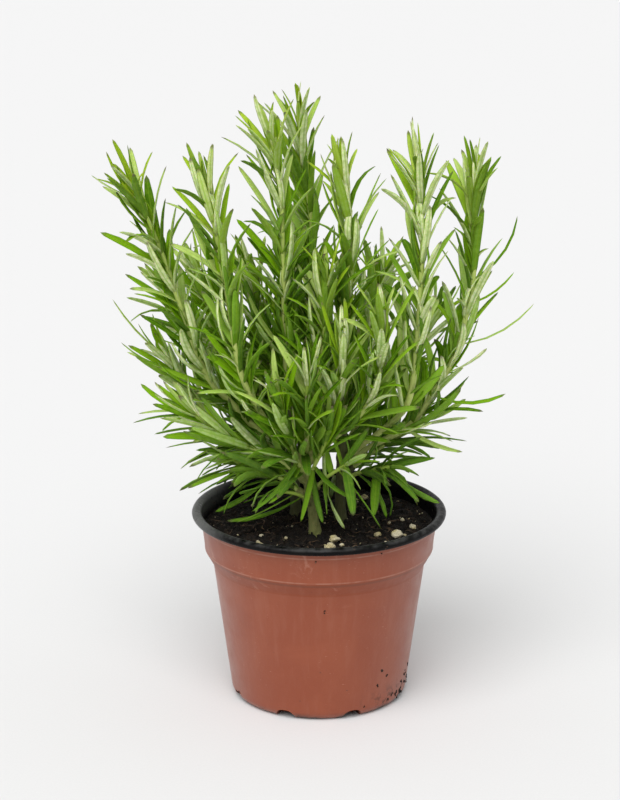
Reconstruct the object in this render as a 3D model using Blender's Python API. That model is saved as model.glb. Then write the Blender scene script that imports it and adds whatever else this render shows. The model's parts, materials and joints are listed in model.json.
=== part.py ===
"""A rosemary plant in a thin plastic nursery pot.

Sizes are millimetres and angles are degrees; MM turns a size into metres when a mesh is made.
The origin is the centre of the pot's base, +Z is up and -Y is the front.
"""

import math

import bmesh
import bpy
import numpy as np
from mathutils import Vector
from mathutils.bvhtree import BVHTree

MM = 0.001
SEED = 20

# The pot: a 13 cm nursery pot
RIM_RADIUS = 65.4
POT_HEIGHT = 99.5
WALL = 1.0
LIP_DROP = 3.7
LIP_ROUND = 2.3
LIP_FOLD = 1.2
LIP_UNDERCUT = 0.5
COLLAR_TOP_RADIUS = 60.9
COLLAR_FOOT_RADIUS = 58.9
COLLAR_FOOT = 78.8
STEP_RADIUS = 54.6
STEP_HEIGHT = 71.0
FOOT_RADIUS = 45.7
FOOT_ROUND = 5.0
RING_INNER_RADIUS = 34.0
RING_SLOPE = 1.0
FLOOR_RISE = 3.0
DRAIN_RADIUS = 5.0
NOTCHES = 8
NOTCH_WIDTH = 10.0
NOTCH_DEPTH = 11.0
NOTCH_HEIGHT = 4.5
CUT_CLEAR = 2.0
POT_SIDES = 48
ROUND_POINTS = 3
SHARP_ANGLE = 35.0

# The soil
FIT_GAP = 0.3
SOIL_TOP = 92.0
SOIL_EDGE_DROP = 1.5
SOIL_LUMP = 0.9
SOIL_WAVE_X = 0.19
SOIL_WAVE_Y = 0.23
SOIL_SLANT_X = -0.27
SOIL_SLANT_Y = 0.31
SOIL_SLANT_SHARE = 0.6
SOIL_SHIFT_X = 0.7
SOIL_SHIFT_SLANT = 2.0
SOIL_FOOT_CHAMFER = 3.0
SOIL_RINGS = (0.92, 0.72, 0.48, 0.24)
SOIL_SIDES = 32
HOLE_SIDES = 9
HOLE_REACH = 6.0

# Pale crumbs lying in the soil: x, y, radius
CRUMBS = (
    (7.5, -33.5, 3.0),
    (5.5, -40.5, 2.6),
    (-29.5, -37.0, 2.0),
    (30.0, -22.5, 2.1),
    (39.5, -24.5, 2.9),
    (48.0, -9.5, 2.0),
    (-26.0, 38.0, 2.4),
    (24.0, 36.0, 2.2),
)
CRUMB_SOCKET = 1.6
CRUMB_SHAPE = (1.0, 0.86, 0.7)
CRUMB_WEAR = 0.14

# The woody crowns: trunk points from the hole in the soil up to the last fork
TRUNKS = (
    ("crown_front", ((-2, -21, 79), (-2, -21, 94), (-5, -20, 116), (-8, -20, 136))),
    ("crown_right", ((11, 2, 79), (11, 2, 94), (11, 1, 120), (12, -3, 144))),
    ("crown_back", ((-12, 10, 79), (-12, 10, 94), (-13, 8, 122), (-15, 5, 144))),
)
TRUNK_FOOT_RADIUS = 2.9
TRUNK_TOP_RADIUS = 2.1
TRUNK_SIDES = 7
HOLE_CLEAR = 0.8

# The leafy shoots: name, crown, height of the fork on its trunk, and the points that the shoot passes.
# The stem ends TIP_REACH before the last point, which is where the tips of its highest leaves are.
SHOOTS = (
    ("shoot_front_short", 0, 134, ((-6, -34, 142), (-6, -43, 154), (-5, -54, 185), (2, -58, 205))),
    ("shoot_left_inner", 0, 126, ((-14, -24, 138), (-25, -32, 153), (-38, -42, 182), (-44, -40, 217),
                                  (-52, -34, 263), (-55, -30, 292))),
    ("shoot_front_right", 0, 128, ((6, -23, 142), (22, -30, 160), (30, -40, 186), (31, -44, 228))),
    ("shoot_middle_left", 2, 144, ((-16, -1, 165), (-17, -8, 192), (-18, -11, 230), (-19, -9, 265),
                                   (-26, -4, 303), (-27, -2, 311))),
    ("shoot_middle_tall", 2, 137, ((-9, 9, 153), (-5, 14, 189), (-4, 22, 243), (-10, 26, 288),
                                   (-2, 26, 313))),
    ("shoot_middle_right", 1, 144, ((13, -7, 162), (13, -10, 189), (16, -11, 232), (13, -7, 275),
                                    (12, -6, 293))),
    ("shoot_right_inner", 1, 122, ((20, -5, 133), (30, -12, 143), (44, -26, 163), (48, -32, 197),
                                   (50, -30, 245), (49, -22, 280), (53, -18, 299))),
    ("shoot_right_outer", 1, 120, ((24, 2, 130), (46, 4, 142), (57, 5, 157), (69, 8, 179), (78, 14, 216),
                                   (78, 20, 254), (82, 24, 285))),
    ("shoot_left_outer", 2, 120, ((-28, 3, 136), (-43, -2, 154), (-57, -8, 173), (-70, -14, 213),
                                  (-78, -18, 239), (-97, -24, 289))),
    ("shoot_front_middle", 0, 136, ((-4, -19, 152), (0, -20, 175), (3, -22, 205), (6, -26, 244))),
    ("shoot_front_left", 0, 121, ((-12, -34, 138), (-17, -48, 162), (-22, -56, 193))),
    ("shoot_left_low", 0, 118, ((-20, -22, 132), (-44, -26, 144), (-64, -32, 160), (-77, -36, 171))),
    ("shoot_left_lowest", 0, 110, ((-20, -18, 121), (-40, -18, 129), (-63, -17, 135))),
    ("shoot_front_left_low", 0, 108, ((-12, -31, 117), (-34, -50, 126))),
    ("shoot_front_low", 0, 118, ((-3, -28, 129), (3, -37, 146), (8, -45, 171))),
    ("shoot_front_right_low", 0, 113, ((4, -29, 125), (14, -36, 134), (28, -48, 147))),
    ("shoot_right_low", 1, 113, ((22, -5, 120), (38, -14, 126), (56, -19, 131))),
    ("shoot_left_behind", 2, 128, ((-24, 12, 146), (-42, 16, 170), (-60, 22, 212), (-65, 25, 235))),
    ("shoot_left_middle", 2, 113, ((-32, 8, 128), (-56, 6, 146), (-75, 7, 175), (-85, 8, 194))),
    ("shoot_left_back", 2, 124, ((-24, 20, 141), (-50, 33, 166), (-76, 43, 198), (-88, 47, 216))),
    ("shoot_behind_left", 2, 140, ((-22, 11, 162), (-30, 17, 195), (-38, 20, 236))),
    ("shoot_back_tall", 2, 132, ((-14, 20, 152), (-13, 38, 190), (-10, 54, 256))),
    ("shoot_right_low_back", 1, 115, ((28, 10, 126), (52, 18, 138), (76, 26, 150))),
    ("shoot_right_back", 1, 127, ((22, 12, 144), (44, 29, 168), (58, 38, 186), (71, 44, 206))),
    ("shoot_behind_right", 1, 135, ((16, 8, 154), (26, 28, 187), (38, 47, 230))),
    ("shoot_back_right", 1, 110, ((17, 20, 124), (32, 40, 146), (46, 55, 176))),
    ("shoot_back_left", 2, 117, ((-20, 26, 130), (-34, 43, 152), (-48, 58, 186))),
    ("shoot_back_middle", 2, 110, ((-9, 28, 123), (-2, 47, 146), (4, 58, 180))),
    ("shoot_left_low_back", 2, 106, ((-32, 24, 120), (-58, 36, 134), (-82, 44, 152))),
    ("shoot_middle_low", 0, 131, ((1, -24, 144), (8, -32, 160), (12, -38, 190), (13, -40, 215))),
)
TIP_REACH = 21.0
STEM_FOOT_RADIUS = 1.6
STEM_TIP_RADIUS = 0.9
STEM_TAPER = 120.0
STEM_SIDES = 4
STEM_RING_STEP = 16.0
TRUNK_RING_STEP = 9.0
BARK_RING_STEP = 5.0
BARK_RADIUS = 1.8
BARK_SIDES = 5
BARK_SHORTEST = 9.0
BARK_LONGEST = 45.0
WOOD_CLEAR = 1.2
ROUTE_STEP = 1.0
ROUTE_FINENESS = 40
FRAME_START = (0.31, 0.95, 0.05)

# The needle leaves
LEAF_LENGTH = 36.0
LEAF_WIDTH = 4.4
YOUNG_LENGTH = 0.66
YOUNG_WIDTH = 0.62
YOUNG_ZONE = 18.0
LEAF_TOP = 0.3
LEAF_KEEL = 0.8
LEAF_ROOT_HALF = 0.5
LEAF_ROOT_TOP = 0.25
LEAF_ROOT_KEEL = 0.35
LEAF_ROOT_OUT = 0.2
LEAF_MIDDLE = (0.45,)
CURLED_LEAF_MIDDLE = (0.32, 0.68)
CURLED_LEAF_TURN = 47.0
STRAIGHT_TURN = 0.001

# How the leaves stand off the stem, in degrees: steep at the shoot's tip, wider spread on old wood, and
# hanging where the root is low over the soil
SPREAD = 24.0
SPREAD_YOUNG = -11.0
SPREAD_OLD = 15.0
SPREAD_HANGING = 18.0
SPREAD_WANDER = 8.0
# Every leaf leans a little to the left, where the light comes from
LIGHT_LEAN = (-0.12, 0.0, 0.0)
YOUNG_REACH = 10.0
OLD_START = 50.0
OLD_REACH = 90.0
HANGING_TOP = 142.0
HANGING_REACH = 40.0
CURVE_LEAST = 8.0
CURVE_MOST = 33.0
CURVE_OLD = 14.0
BEND_OUTWARD = -0.9
BEND_INWARD = 0.4
RISE_YOUNG = 0.06
RISE_OLD = 0.55
DROOP = 1.3
LENGTH_SPREAD = (0.86, 1.14)
WIDTH_SPREAD = (0.85, 1.10)

# How far apart the leaf pairs are along the stem, and how a leaf is moved that would touch another shoot
PAIR_PITCH = 11.2
PAIR_PITCH_TIP = 5.5
PAIR_ZONE = 24.0
FIRST_PAIR = 1.5
BARE_FOOT = 7.0
# Shoots that are bare further up from the fork
BARE_FEET = {"shoot_left_inner": 30.0, "shoot_right_inner": 26.0, "shoot_right_outer": 20.0,
             "shoot_front_right": 12.0, "shoot_front_left_low": 14.0, "shoot_front_right_low": 15.0,
             "shoot_front_low": 10.0}
# Shoots whose leaves stand this many degrees closer to the stem
TIGHT_SHOOTS = {"shoot_right_outer": 9.0}
GOLDEN_SHARE = 0.618
PLACE_TRIES = 20
AIM_WANDER = 0.12
AIM_WANDER_STEP = 0.06
SHORTEN_STEP = 0.015
LEAF_CLEAR = 0.6
SOIL_CLEAR = 2.5
LIP_CLEAR = 1.2
LIP_CLEAR_INSIDE = 54.0
LIP_CLEAR_OUTSIDE = 68.4
CLEAR_SHARES = (0.25, 0.5, 0.75, 1.0)

# Leaves that the outline is known by: shoot, height of the root on its stem, the leaf's tip, its turn in
# degrees and its width
KNOWN_LEAVES = (
    ("shoot_left_outer", 264, (-110, -29, 278), 20, 3.8),
    ("shoot_left_middle", 184, (-104, 2, 209), 25, 3.6),
    ("shoot_left_middle", 170, (-100, 0, 187), 35, 3.6),
    ("shoot_left_low", 160, (-94, -12, 148), -20, 4.2),
    ("shoot_left_low", 157, (-89, -20, 171), 30, 3.6),
    ("shoot_left_lowest", 128, (-71, -12, 112), -25, 4.4),
    ("shoot_left_lowest", 123, (-53, -13, 101), 24, 3.4),
    ("shoot_right_outer", 217, (100, 20, 248), 62, 2.8),
    ("shoot_right_outer", 204, (99, 19, 219), 42, 3.2),
    ("shoot_right_outer", 184, (110, 22, 202), 50, 2.8),
    ("shoot_right_outer", 158, (95, 4, 159), 56, 3.4),
    ("shoot_right_outer", 169, (85, 4, 183), 30, 3.6),
    ("shoot_right_outer", 141, (73, -6, 131), 32, 5.4),
    ("shoot_right_low", 125, (61, -22, 109), 34, 3.4),
    ("shoot_front_right_low", 133, (17, -48, 111), -20, 5.2),
    ("shoot_front_right_low", 130, (31, -42, 102), -14, 3.2),
    ("shoot_front_left", 134, (-33, -44, 112), 34, 5.4),
    ("shoot_front_low", 129, (-9, -42, 106), 12, 3.8),
    ("shoot_front_left_low", 117, (-42, -24, 99), 12, 3.0),
)


def unit(vector):
    """The vector at length one."""
    return vector / np.linalg.norm(vector)


def smooth_route(points, step=ROUTE_STEP):
    """A Catmull-Rom curve through the points, as places an equal step apart along it."""
    nodes = np.array(points, float)
    ends = np.vstack((2 * nodes[0] - nodes[1], nodes, 2 * nodes[-1] - nodes[-2]))
    fine = []
    share = np.linspace(0, 1, ROUTE_FINENESS, endpoint=False)[:, None]
    for before, start, stop, after in zip(ends, ends[1:], ends[2:], ends[3:]):
        fine.append(0.5 * (2 * start + (stop - before) * share
                           + (2 * before - 5 * start + 4 * stop - after) * share**2
                           + (3 * start - before - 3 * stop + after) * share**3))
    fine = np.vstack(fine + [nodes[-1:]])
    along = np.concatenate(([0], np.cumsum(np.linalg.norm(np.diff(fine, axis=0), axis=1))))
    count = max(2, int(round(along[-1] / step)) + 1)
    places = np.linspace(0, along[-1], count)
    return np.column_stack([np.interp(places, along, fine[:, axis]) for axis in range(3)])


def route_lengths(route):
    """The distance along the route at each of its points."""
    return np.concatenate(([0], np.cumsum(np.linalg.norm(np.diff(route, axis=0), axis=1))))


def stretch(route, places):
    """The points of a route at these distances along it."""
    lengths = route_lengths(route)
    return np.column_stack([np.interp(places, lengths, route[:, axis]) for axis in range(3)])


def route_frames(route):
    """The tangent and two sideways directions at each point, carried along the route without twist."""
    tangents = np.gradient(route, axis=0)
    tangents /= np.linalg.norm(tangents, axis=1)[:, None]
    side = unit(np.cross(tangents[0], FRAME_START))
    sides = []
    for tangent in tangents:
        side = unit(side - tangent * np.dot(side, tangent))
        sides.append(side)
    sides = np.array(sides)
    return tangents, sides, np.cross(tangents, sides)


def tube(route, radii, sides, spin=0.0):
    """Points and faces of a closed tube along the route. A flat side has its middle at the spin angle."""
    tangents, left, front = route_frames(route)
    turn = (np.arange(sides) + 0.5) * 2 * math.pi / sides + spin
    rings = (route[:, None]
             + radii[:, None, None] * (np.cos(turn)[None, :, None] * left[:, None]
                                       + np.sin(turn)[None, :, None] * front[:, None]))
    faces = [tuple(reversed(range(sides)))]
    for ring in range(len(route) - 1):
        for side in range(sides):
            after = (side + 1) % sides
            low = ring * sides
            faces.append((low + side, low + after, low + sides + after, low + sides + side))
    last = (len(route) - 1) * sides
    faces.append(tuple(range(last, last + sides)))
    return rings.reshape(-1, 3), faces


def mesh_object(name, points, faces, material=None):
    """An object whose mesh has these points, given in millimetres."""
    mesh = bpy.data.meshes.new(name)
    mesh.from_pydata((np.asarray(points) * MM).tolist(), [], faces)
    mesh.update()
    if material:
        mesh.materials.append(material)
    piece = bpy.data.objects.new(name, mesh)
    bpy.context.scene.collection.objects.link(piece)
    return piece


def plain_material(name, colour, roughness):
    """A Principled material of one colour."""
    material = bpy.data.materials.new(name)
    material.use_nodes = True
    shader = material.node_tree.nodes["Principled BSDF"]
    shader.inputs["Base Color"].default_value = (*colour, 1)
    shader.inputs["Roughness"].default_value = roughness
    shader.inputs["Metallic"].default_value = 0
    return material


def evaluated_mesh(piece):
    """The piece's mesh with its modifiers applied."""
    bpy.context.view_layer.update()
    return bpy.data.meshes.new_from_object(piece.evaluated_get(bpy.context.evaluated_depsgraph_get()))


def is_closed(mesh):
    """Whether every edge of the mesh joins exactly two faces."""
    work = bmesh.new()
    work.from_mesh(mesh)
    closed = all(len(edge.link_faces) == 2 for edge in work.edges)
    work.free()
    return closed


def tidy_faces(mesh):
    """Makes every face a triangle."""
    work = bmesh.new()
    work.from_mesh(mesh)
    bmesh.ops.triangulate(work, faces=work.faces)
    work.to_mesh(mesh)
    work.free()


def apply_boolean(piece, operation, repeats):
    """Joins the repeats to the piece, or cuts them from it, in one Boolean, and removes them."""
    holder = bpy.data.collections.new(piece.name + "_repeats")
    bpy.context.scene.collection.children.link(holder)
    for repeat in repeats:
        for owner in list(repeat.users_collection):
            owner.objects.unlink(repeat)
        holder.objects.link(repeat)
    joined = piece.modifiers.new("joined", "BOOLEAN")
    joined.operation = operation
    joined.operand_type = "COLLECTION"
    joined.collection = holder
    for solver in ("EXACT", "MANIFOLD"):
        joined.solver = solver
        finished = evaluated_mesh(piece)
        tidy_faces(finished)
        if is_closed(finished):
            break
    piece.modifiers.clear()
    rough = piece.data
    piece.data = finished
    bpy.data.meshes.remove(rough)
    for repeat in repeats:
        bpy.data.objects.remove(repeat)
    bpy.data.collections.remove(holder)


def turned(name, profile, sides, material):
    """A closed profile of radius and height, turned round Z. It runs up the outside and down the inside."""
    turn = np.arange(sides) * 2 * math.pi / sides
    ring, height = np.array(profile, float).T
    points = np.stack([ring[:, None] * np.cos(turn), ring[:, None] * np.sin(turn),
                       np.broadcast_to(height[:, None], (len(ring), sides))], axis=-1)
    faces = []
    for row in range(len(ring)):
        after_row = (row + 1) % len(ring)
        for side in range(sides):
            after = (side + 1) % sides
            faces.append((row * sides + side, row * sides + after,
                          after_row * sides + after, after_row * sides + side))
    piece = mesh_object(name, points.reshape(-1, 3), faces, material)
    piece.data.shade_smooth()
    piece.data.set_sharp_from_angle(angle=math.radians(SHARP_ANGLE))
    return piece


def arc(centre, radius, start, stop, count):
    """Points on an arc in the radius and height plane, with angles in degrees from outwards."""
    turn = np.radians(np.linspace(start, stop, count))
    return list(zip(centre[0] + radius * np.cos(turn), centre[1] + radius * np.sin(turn)))


def inner_radius(height):
    """Inner radius of the pot's wall: a straight taper, the step, and the collar up to the mouth."""
    heights = (FOOT_ROUND, STEP_HEIGHT, COLLAR_FOOT, POT_HEIGHT - LIP_FOLD)
    outer = (FOOT_RADIUS, STEP_RADIUS, COLLAR_FOOT_RADIUS, COLLAR_TOP_RADIUS)
    return np.interp(height, heights, outer) - WALL


def pot_profile():
    """The pot's cut face: up the outside from the base ring, over the lip and down the inside."""
    foot_bottom = FOOT_RADIUS - FOOT_ROUND
    lip_foot = POT_HEIGHT - LIP_DROP
    outside = arc((foot_bottom, FOOT_ROUND), FOOT_ROUND, -90, 0, ROUND_POINTS)
    outside += [(STEP_RADIUS, STEP_HEIGHT), (COLLAR_FOOT_RADIUS, COLLAR_FOOT), (COLLAR_TOP_RADIUS, lip_foot)]
    lip = [(RIM_RADIUS - LIP_UNDERCUT, lip_foot)]
    lip += arc((RIM_RADIUS - LIP_ROUND, POT_HEIGHT - LIP_ROUND), LIP_ROUND, 0, 90, ROUND_POINTS)
    inside_heights = (POT_HEIGHT - LIP_FOLD, COLLAR_FOOT, STEP_HEIGHT, FOOT_ROUND)
    inside = [(inner_radius(height), height) for height in inside_heights]
    inside += [(foot_bottom, WALL), (RING_INNER_RADIUS + RING_SLOPE, WALL),
               (RING_INNER_RADIUS - RING_SLOPE, FLOOR_RISE + WALL), (DRAIN_RADIUS, FLOOR_RISE + WALL)]
    floor = [(DRAIN_RADIUS, FLOOR_RISE), (RING_INNER_RADIUS - RING_SLOPE, FLOOR_RISE),
             (RING_INNER_RADIUS + RING_SLOPE, 0)]
    return outside + lip + inside + floor


def make_pot():
    """The pot, with drain notches cut through the rounded edge of its foot."""
    material = plain_material("pot_plastic", (0.32, 0.10, 0.05), 0.45)
    pot = turned("pot", pot_profile(), POT_SIDES, material)
    cutters = []
    for notch in range(NOTCHES):
        turn = 2 * math.pi * (notch + 0.5) / NOTCHES
        bpy.ops.mesh.primitive_cube_add(size=1)
        cutter = bpy.context.object
        middle = FOOT_RADIUS + CUT_CLEAR - NOTCH_DEPTH / 2
        cutter.location = (middle * MM * math.cos(turn), middle * MM * math.sin(turn),
                           (NOTCH_HEIGHT - CUT_CLEAR) / 2 * MM)
        cutter.rotation_euler = (0, 0, turn)
        cutter.scale = (NOTCH_DEPTH * MM, NOTCH_WIDTH * MM, (NOTCH_HEIGHT + CUT_CLEAR) * MM)
        cutter.hide_render = True
        cutter.display_type = "WIRE"
        cutters.append(cutter)
    apply_boolean(pot, "DIFFERENCE", cutters)
    return pot


def soil_height(x, y):
    """Height of the lumpy soil surface, which sinks a little towards the pot's wall."""
    lumps = np.sin(SOIL_WAVE_X * x + SOIL_SHIFT_X) * np.cos(SOIL_WAVE_Y * y)
    lumps += SOIL_SLANT_SHARE * np.sin(SOIL_SLANT_Y * y + SOIL_SLANT_X * x + SOIL_SHIFT_SLANT)
    edge = (np.hypot(x, y) / COLLAR_FOOT_RADIUS) ** 4
    return SOIL_TOP + SOIL_LUMP * lumps * (1 - edge) - SOIL_EDGE_DROP * edge


def make_soil():
    """The soil fills the pot to just under the lip, with holes for the trunks and sockets for the crumbs."""
    material = plain_material("soil_peat", (0.012, 0.008, 0.006), 0.95)
    edge_height = SOIL_TOP - SOIL_EDGE_DROP
    heights = (FOOT_ROUND + 1, STEP_HEIGHT, COLLAR_FOOT, edge_height)
    sides = [(inner_radius(height) * math.cos(math.pi / POT_SIDES) - FIT_GAP, height) for height in heights]
    edge = sides[-1][0]
    sides.insert(0, (sides[0][0] - SOIL_FOOT_CHAMFER, FLOOR_RISE + WALL + FIT_GAP))
    turn = np.arange(SOIL_SIDES) * 2 * math.pi / SOIL_SIDES
    rings = [(radius * np.cos(turn), radius * np.sin(turn), np.full(SOIL_SIDES, height))
             for radius, height in sides]
    for share in SOIL_RINGS:
        x = share * edge * np.cos(turn)
        y = share * edge * np.sin(turn)
        rings.append((x, y, soil_height(x, y)))
    points = np.array(rings).transpose(0, 2, 1).reshape(-1, 3)
    points = np.vstack((points, (0, 0, soil_height(0, 0))))
    top = len(points) - 1
    last = (len(rings) - 1) * SOIL_SIDES
    faces = [tuple(reversed(range(SOIL_SIDES)))]
    for row in range(len(rings) - 1):
        for side in range(SOIL_SIDES):
            after = (side + 1) % SOIL_SIDES
            low = row * SOIL_SIDES
            faces.append((low + side, low + after, low + SOIL_SIDES + after, low + SOIL_SIDES + side))
    faces += [(last + side, last + (side + 1) % SOIL_SIDES, top) for side in range(SOIL_SIDES)]
    soil = mesh_object("soil", points, faces, material)
    cutters = []
    for name, trunk in TRUNKS:
        cutters.append(hole_cutter(trunk[0], TRUNK_FOOT_RADIUS + HOLE_CLEAR, trunk[0][2] - FIT_GAP))
    for x, y, radius in CRUMBS:
        cutters.append(hole_cutter((x, y), radius + FIT_GAP, soil_height(x, y) - CRUMB_SOCKET))
    apply_boolean(soil, "DIFFERENCE", cutters)
    return soil


def hole_cutter(place, radius, low):
    """An upright cylinder that cuts a plain hole down from above the soil."""
    high = SOIL_TOP + HOLE_REACH
    bpy.ops.mesh.primitive_cylinder_add(vertices=HOLE_SIDES, radius=radius * MM, depth=(high - low) * MM,
                                        location=(place[0] * MM, place[1] * MM, (low + high) / 2 * MM))
    cutter = bpy.context.object
    cutter.hide_render = True
    cutter.display_type = "WIRE"
    return cutter


def make_crumbs():
    """Pale mineral crumbs: uneven pebbles, each in its own shallow socket in the soil."""
    material = plain_material("crumb_mineral", (0.62, 0.54, 0.38), 0.85)
    rng = np.random.default_rng(SEED)
    for index, (x, y, radius) in enumerate(CRUMBS):
        bpy.ops.mesh.primitive_ico_sphere_add(subdivisions=1, radius=1)
        source = bpy.context.object
        points = np.array([vertex.co[:] for vertex in source.data.vertices])
        faces = [tuple(face.vertices) for face in source.data.polygons]
        bpy.data.objects.remove(source)
        points = points * (1 - CRUMB_WEAR * rng.random((len(points), 1)))
        points = points * radius * CRUMB_SHAPE
        floor = soil_height(x, y) - CRUMB_SOCKET + FIT_GAP
        points += (x, y, floor - points[:, 2].min())
        mesh_object(f"perlite_{index + 1:02d}", points, faces, material)


class Plant:
    """The routes of all stems, the bark lengths and the leaf places, worked out before any mesh."""

    def __init__(self):
        self.trunks = [smooth_route(points) for name, points in TRUNKS]
        self.routes = []
        for name, crown, fork, points in SHOOTS:
            route = smooth_route((self.trunk_place(crown, fork), *points))
            self.routes.append(route[:len(route) - int(TIP_REACH / ROUTE_STEP)])
        self.bark = [self.bark_length(index) for index in range(len(SHOOTS))]

    def trunk_place(self, crown, height):
        """The point of the trunk's middle line at this height."""
        route = self.trunks[crown]
        return tuple(np.interp(height, route[:, 2], route[:, axis]) for axis in range(3))

    def bark_length(self, index):
        """How far bark runs up a branch: until the branch stands clear of its trunk and its neighbours."""
        crown = SHOOTS[index][1]
        route = self.routes[index]
        others = [self.trunks[crown]]
        for other, shoot in enumerate(SHOOTS):
            if other != index and shoot[1] == crown:
                others.append(self.routes[other])
        needed = np.full(len(route), np.inf)
        for number, other in enumerate(others):
            thick = TRUNK_FOOT_RADIUS if number == 0 else STEM_FOOT_RADIUS
            gap = np.linalg.norm(route[:, None] - other[None], axis=2).min(axis=1)
            needed = np.minimum(needed, gap - thick - STEM_FOOT_RADIUS)
        lengths = route_lengths(route)
        blocked = np.where((needed < WOOD_CLEAR) & (lengths < BARK_LONGEST))[0]
        return max(BARK_SHORTEST, lengths[blocked[-1]] + ROUTE_STEP if len(blocked) else 0)

    def stem(self, index):
        """The leafy part of a shoot's route, which starts a fit gap past the bark."""
        route = self.routes[index]
        length = route_lengths(route)[-1]
        start = self.bark[index] + FIT_GAP
        count = max(3, int(round((length - start) / ROUTE_STEP)))
        return stretch(route, np.linspace(start, length, count))

    def branch(self, index):
        """The barked part of a shoot's route."""
        count = max(3, int(round(self.bark[index] / BARK_RING_STEP)))
        return stretch(self.routes[index], np.linspace(0, self.bark[index], count))


def stem_radii(from_tip):
    """The stem's radius at these distances from its tip: it tapers towards the tip."""
    share = np.clip(from_tip / STEM_TAPER, 0, 1)
    return STEM_TIP_RADIUS + (STEM_FOOT_RADIUS - STEM_TIP_RADIUS) * share


def leaf_curve(leaf, share):
    """Place, forward, top and side directions of a leaf at a share of its length: an even bend."""
    angle = leaf["turn"] * share
    cos = math.cos(angle)
    sin = math.sin(angle)
    forward = cos * leaf["forward"] + sin * leaf["bend"]
    if abs(leaf["turn"]) < STRAIGHT_TURN:
        place = leaf["root"] + leaf["length"] * share * leaf["forward"]
    else:
        radius = leaf["length"] / leaf["turn"]
        place = leaf["root"] + radius * (sin * leaf["forward"] + (1 - cos) * leaf["bend"])
    lean = np.dot(leaf["top"], leaf["bend"])
    top = leaf["top"] + lean * ((cos - 1) * leaf["bend"] - sin * leaf["forward"])
    return place, forward, top, np.cross(top, forward)


def leaf_mesh(leaf, grow=0.0):
    """A needle of three sides with a flat top and a keel, wide in the middle and pointed at the tip."""
    stations = LEAF_MIDDLE if abs(leaf["turn"]) < math.radians(CURLED_LEAF_TURN) else CURLED_LEAF_MIDDLE
    points = []
    place, forward, top, side = leaf_curve(leaf, 0)
    half = LEAF_ROOT_HALF + grow
    points += [place + half * side + (LEAF_ROOT_TOP + grow) * top,
               place - half * side + (LEAF_ROOT_TOP + grow) * top,
               place - (LEAF_ROOT_KEEL + grow) * top]
    for share in stations:
        place, forward, top, side = leaf_curve(leaf, share)
        half = leaf["width"] / 2 + grow
        points += [place + half * side + (LEAF_TOP + grow) * top,
                   place - half * side + (LEAF_TOP + grow) * top,
                   place - (LEAF_KEEL + grow) * top]
    place, forward, top, side = leaf_curve(leaf, 1)
    points.append(place + 2 * grow * forward)
    faces = [(2, 1, 0)]
    for row in range(len(stations)):
        low = row * 3
        for corner in range(3):
            after = (corner + 1) % 3
            faces.append((low + corner, low + after, low + 3 + after, low + 3 + corner))
    low = len(stations) * 3
    faces += [(low + corner, low + (corner + 1) % 3, low + 3) for corner in range(3)]
    return np.array(points), faces


def known_leaf(stem, height, tip, turn, width):
    """A leaf from a known height on its stem to a known tip, bent upwards by the turn in degrees."""
    root = stem[np.argmin(np.abs(stem[:, 2] - height))]
    chord = np.array(tip, float) - root
    reach = np.linalg.norm(chord)
    chord /= reach
    half = math.radians(turn) / 2
    rise = unit(np.array((0, 0, 1)) - chord[2] * chord)
    forward = math.cos(half) * chord - math.sin(half) * rise
    bend = math.sin(half) * chord + math.cos(half) * rise
    length = reach * half / math.sin(half)
    return {"root": root, "forward": forward, "bend": bend, "top": bend, "turn": 2 * half,
            "length": length, "width": width}


def leaf_at(stem, frames, place, azimuth, from_tip, rng, tight):
    """A leaf of a pair: steep and short near the tip of the shoot, wider spread and longer further down,
    and hanging where the root is low over the soil."""
    tangents, left, front = frames
    tangent = tangents[place]
    out = math.cos(azimuth) * left[place] + math.sin(azimuth) * front[place]
    young = math.exp(-from_tip / YOUNG_REACH)
    old = min(max((from_tip - OLD_START) / OLD_REACH, 0), 1)
    hanging = min(max((HANGING_TOP - stem[place][2]) / HANGING_REACH, 0), 1)
    spread = math.radians(SPREAD + SPREAD_YOUNG * young + SPREAD_OLD * old + SPREAD_HANGING * hanging
                          - tight + rng.uniform(-SPREAD_WANDER, SPREAD_WANDER))
    forward = unit(math.cos(spread) * tangent + math.sin(spread) * out + np.array(LIGHT_LEAN))
    inner = math.sin(spread) * tangent - math.cos(spread) * out
    inner = unit(inner - np.dot(inner, forward) * forward)
    rise = np.array((0.0, 0.0, 1.0)) - forward[2] * forward
    lift = RISE_YOUNG + RISE_OLD * old - DROOP * hanging
    bend = unit(inner * rng.uniform(BEND_OUTWARD, BEND_INWARD) + rise * lift)
    turn = math.radians(rng.uniform(CURVE_LEAST, CURVE_MOST) + CURVE_OLD * max(old, hanging))
    grown = min(from_tip / YOUNG_ZONE, 1)
    length = LEAF_LENGTH * (YOUNG_LENGTH + (1 - YOUNG_LENGTH) * grown) * rng.uniform(*LENGTH_SPREAD)
    width = LEAF_WIDTH * (YOUNG_WIDTH + (1 - YOUNG_WIDTH) * grown) * rng.uniform(*WIDTH_SPREAD)
    return {"root": stem[place] + LEAF_ROOT_OUT * out, "forward": forward, "bend": bend, "top": inner,
            "turn": turn, "length": length, "width": width}


def clear_of_pot(leaf):
    """Whether a leaf stays above the soil and the lip."""
    for share in CLEAR_SHARES:
        x, y, z = leaf_curve(leaf, share)[0]
        over_lip = LIP_CLEAR_INSIDE < math.hypot(x, y) < LIP_CLEAR_OUTSIDE
        if z < (POT_HEIGHT + LIP_CLEAR if over_lip else SOIL_TOP + SOIL_CLEAR):
            return False
    return True


def tree_of(parts):
    """One search tree over several meshes of points and faces."""
    points = []
    faces = []
    for part_points, part_faces in parts:
        faces += [tuple(len(points) + corner for corner in face) for face in part_faces]
        points += [Vector(point) for point in part_points]
    return BVHTree.FromPolygons(points, faces)


def stem_spin(index):
    """The turn of a shoot's square stem, whose leaf pairs stand on its flat sides."""
    return index * GOLDEN_SHARE % 1 * math.pi / 2


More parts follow.
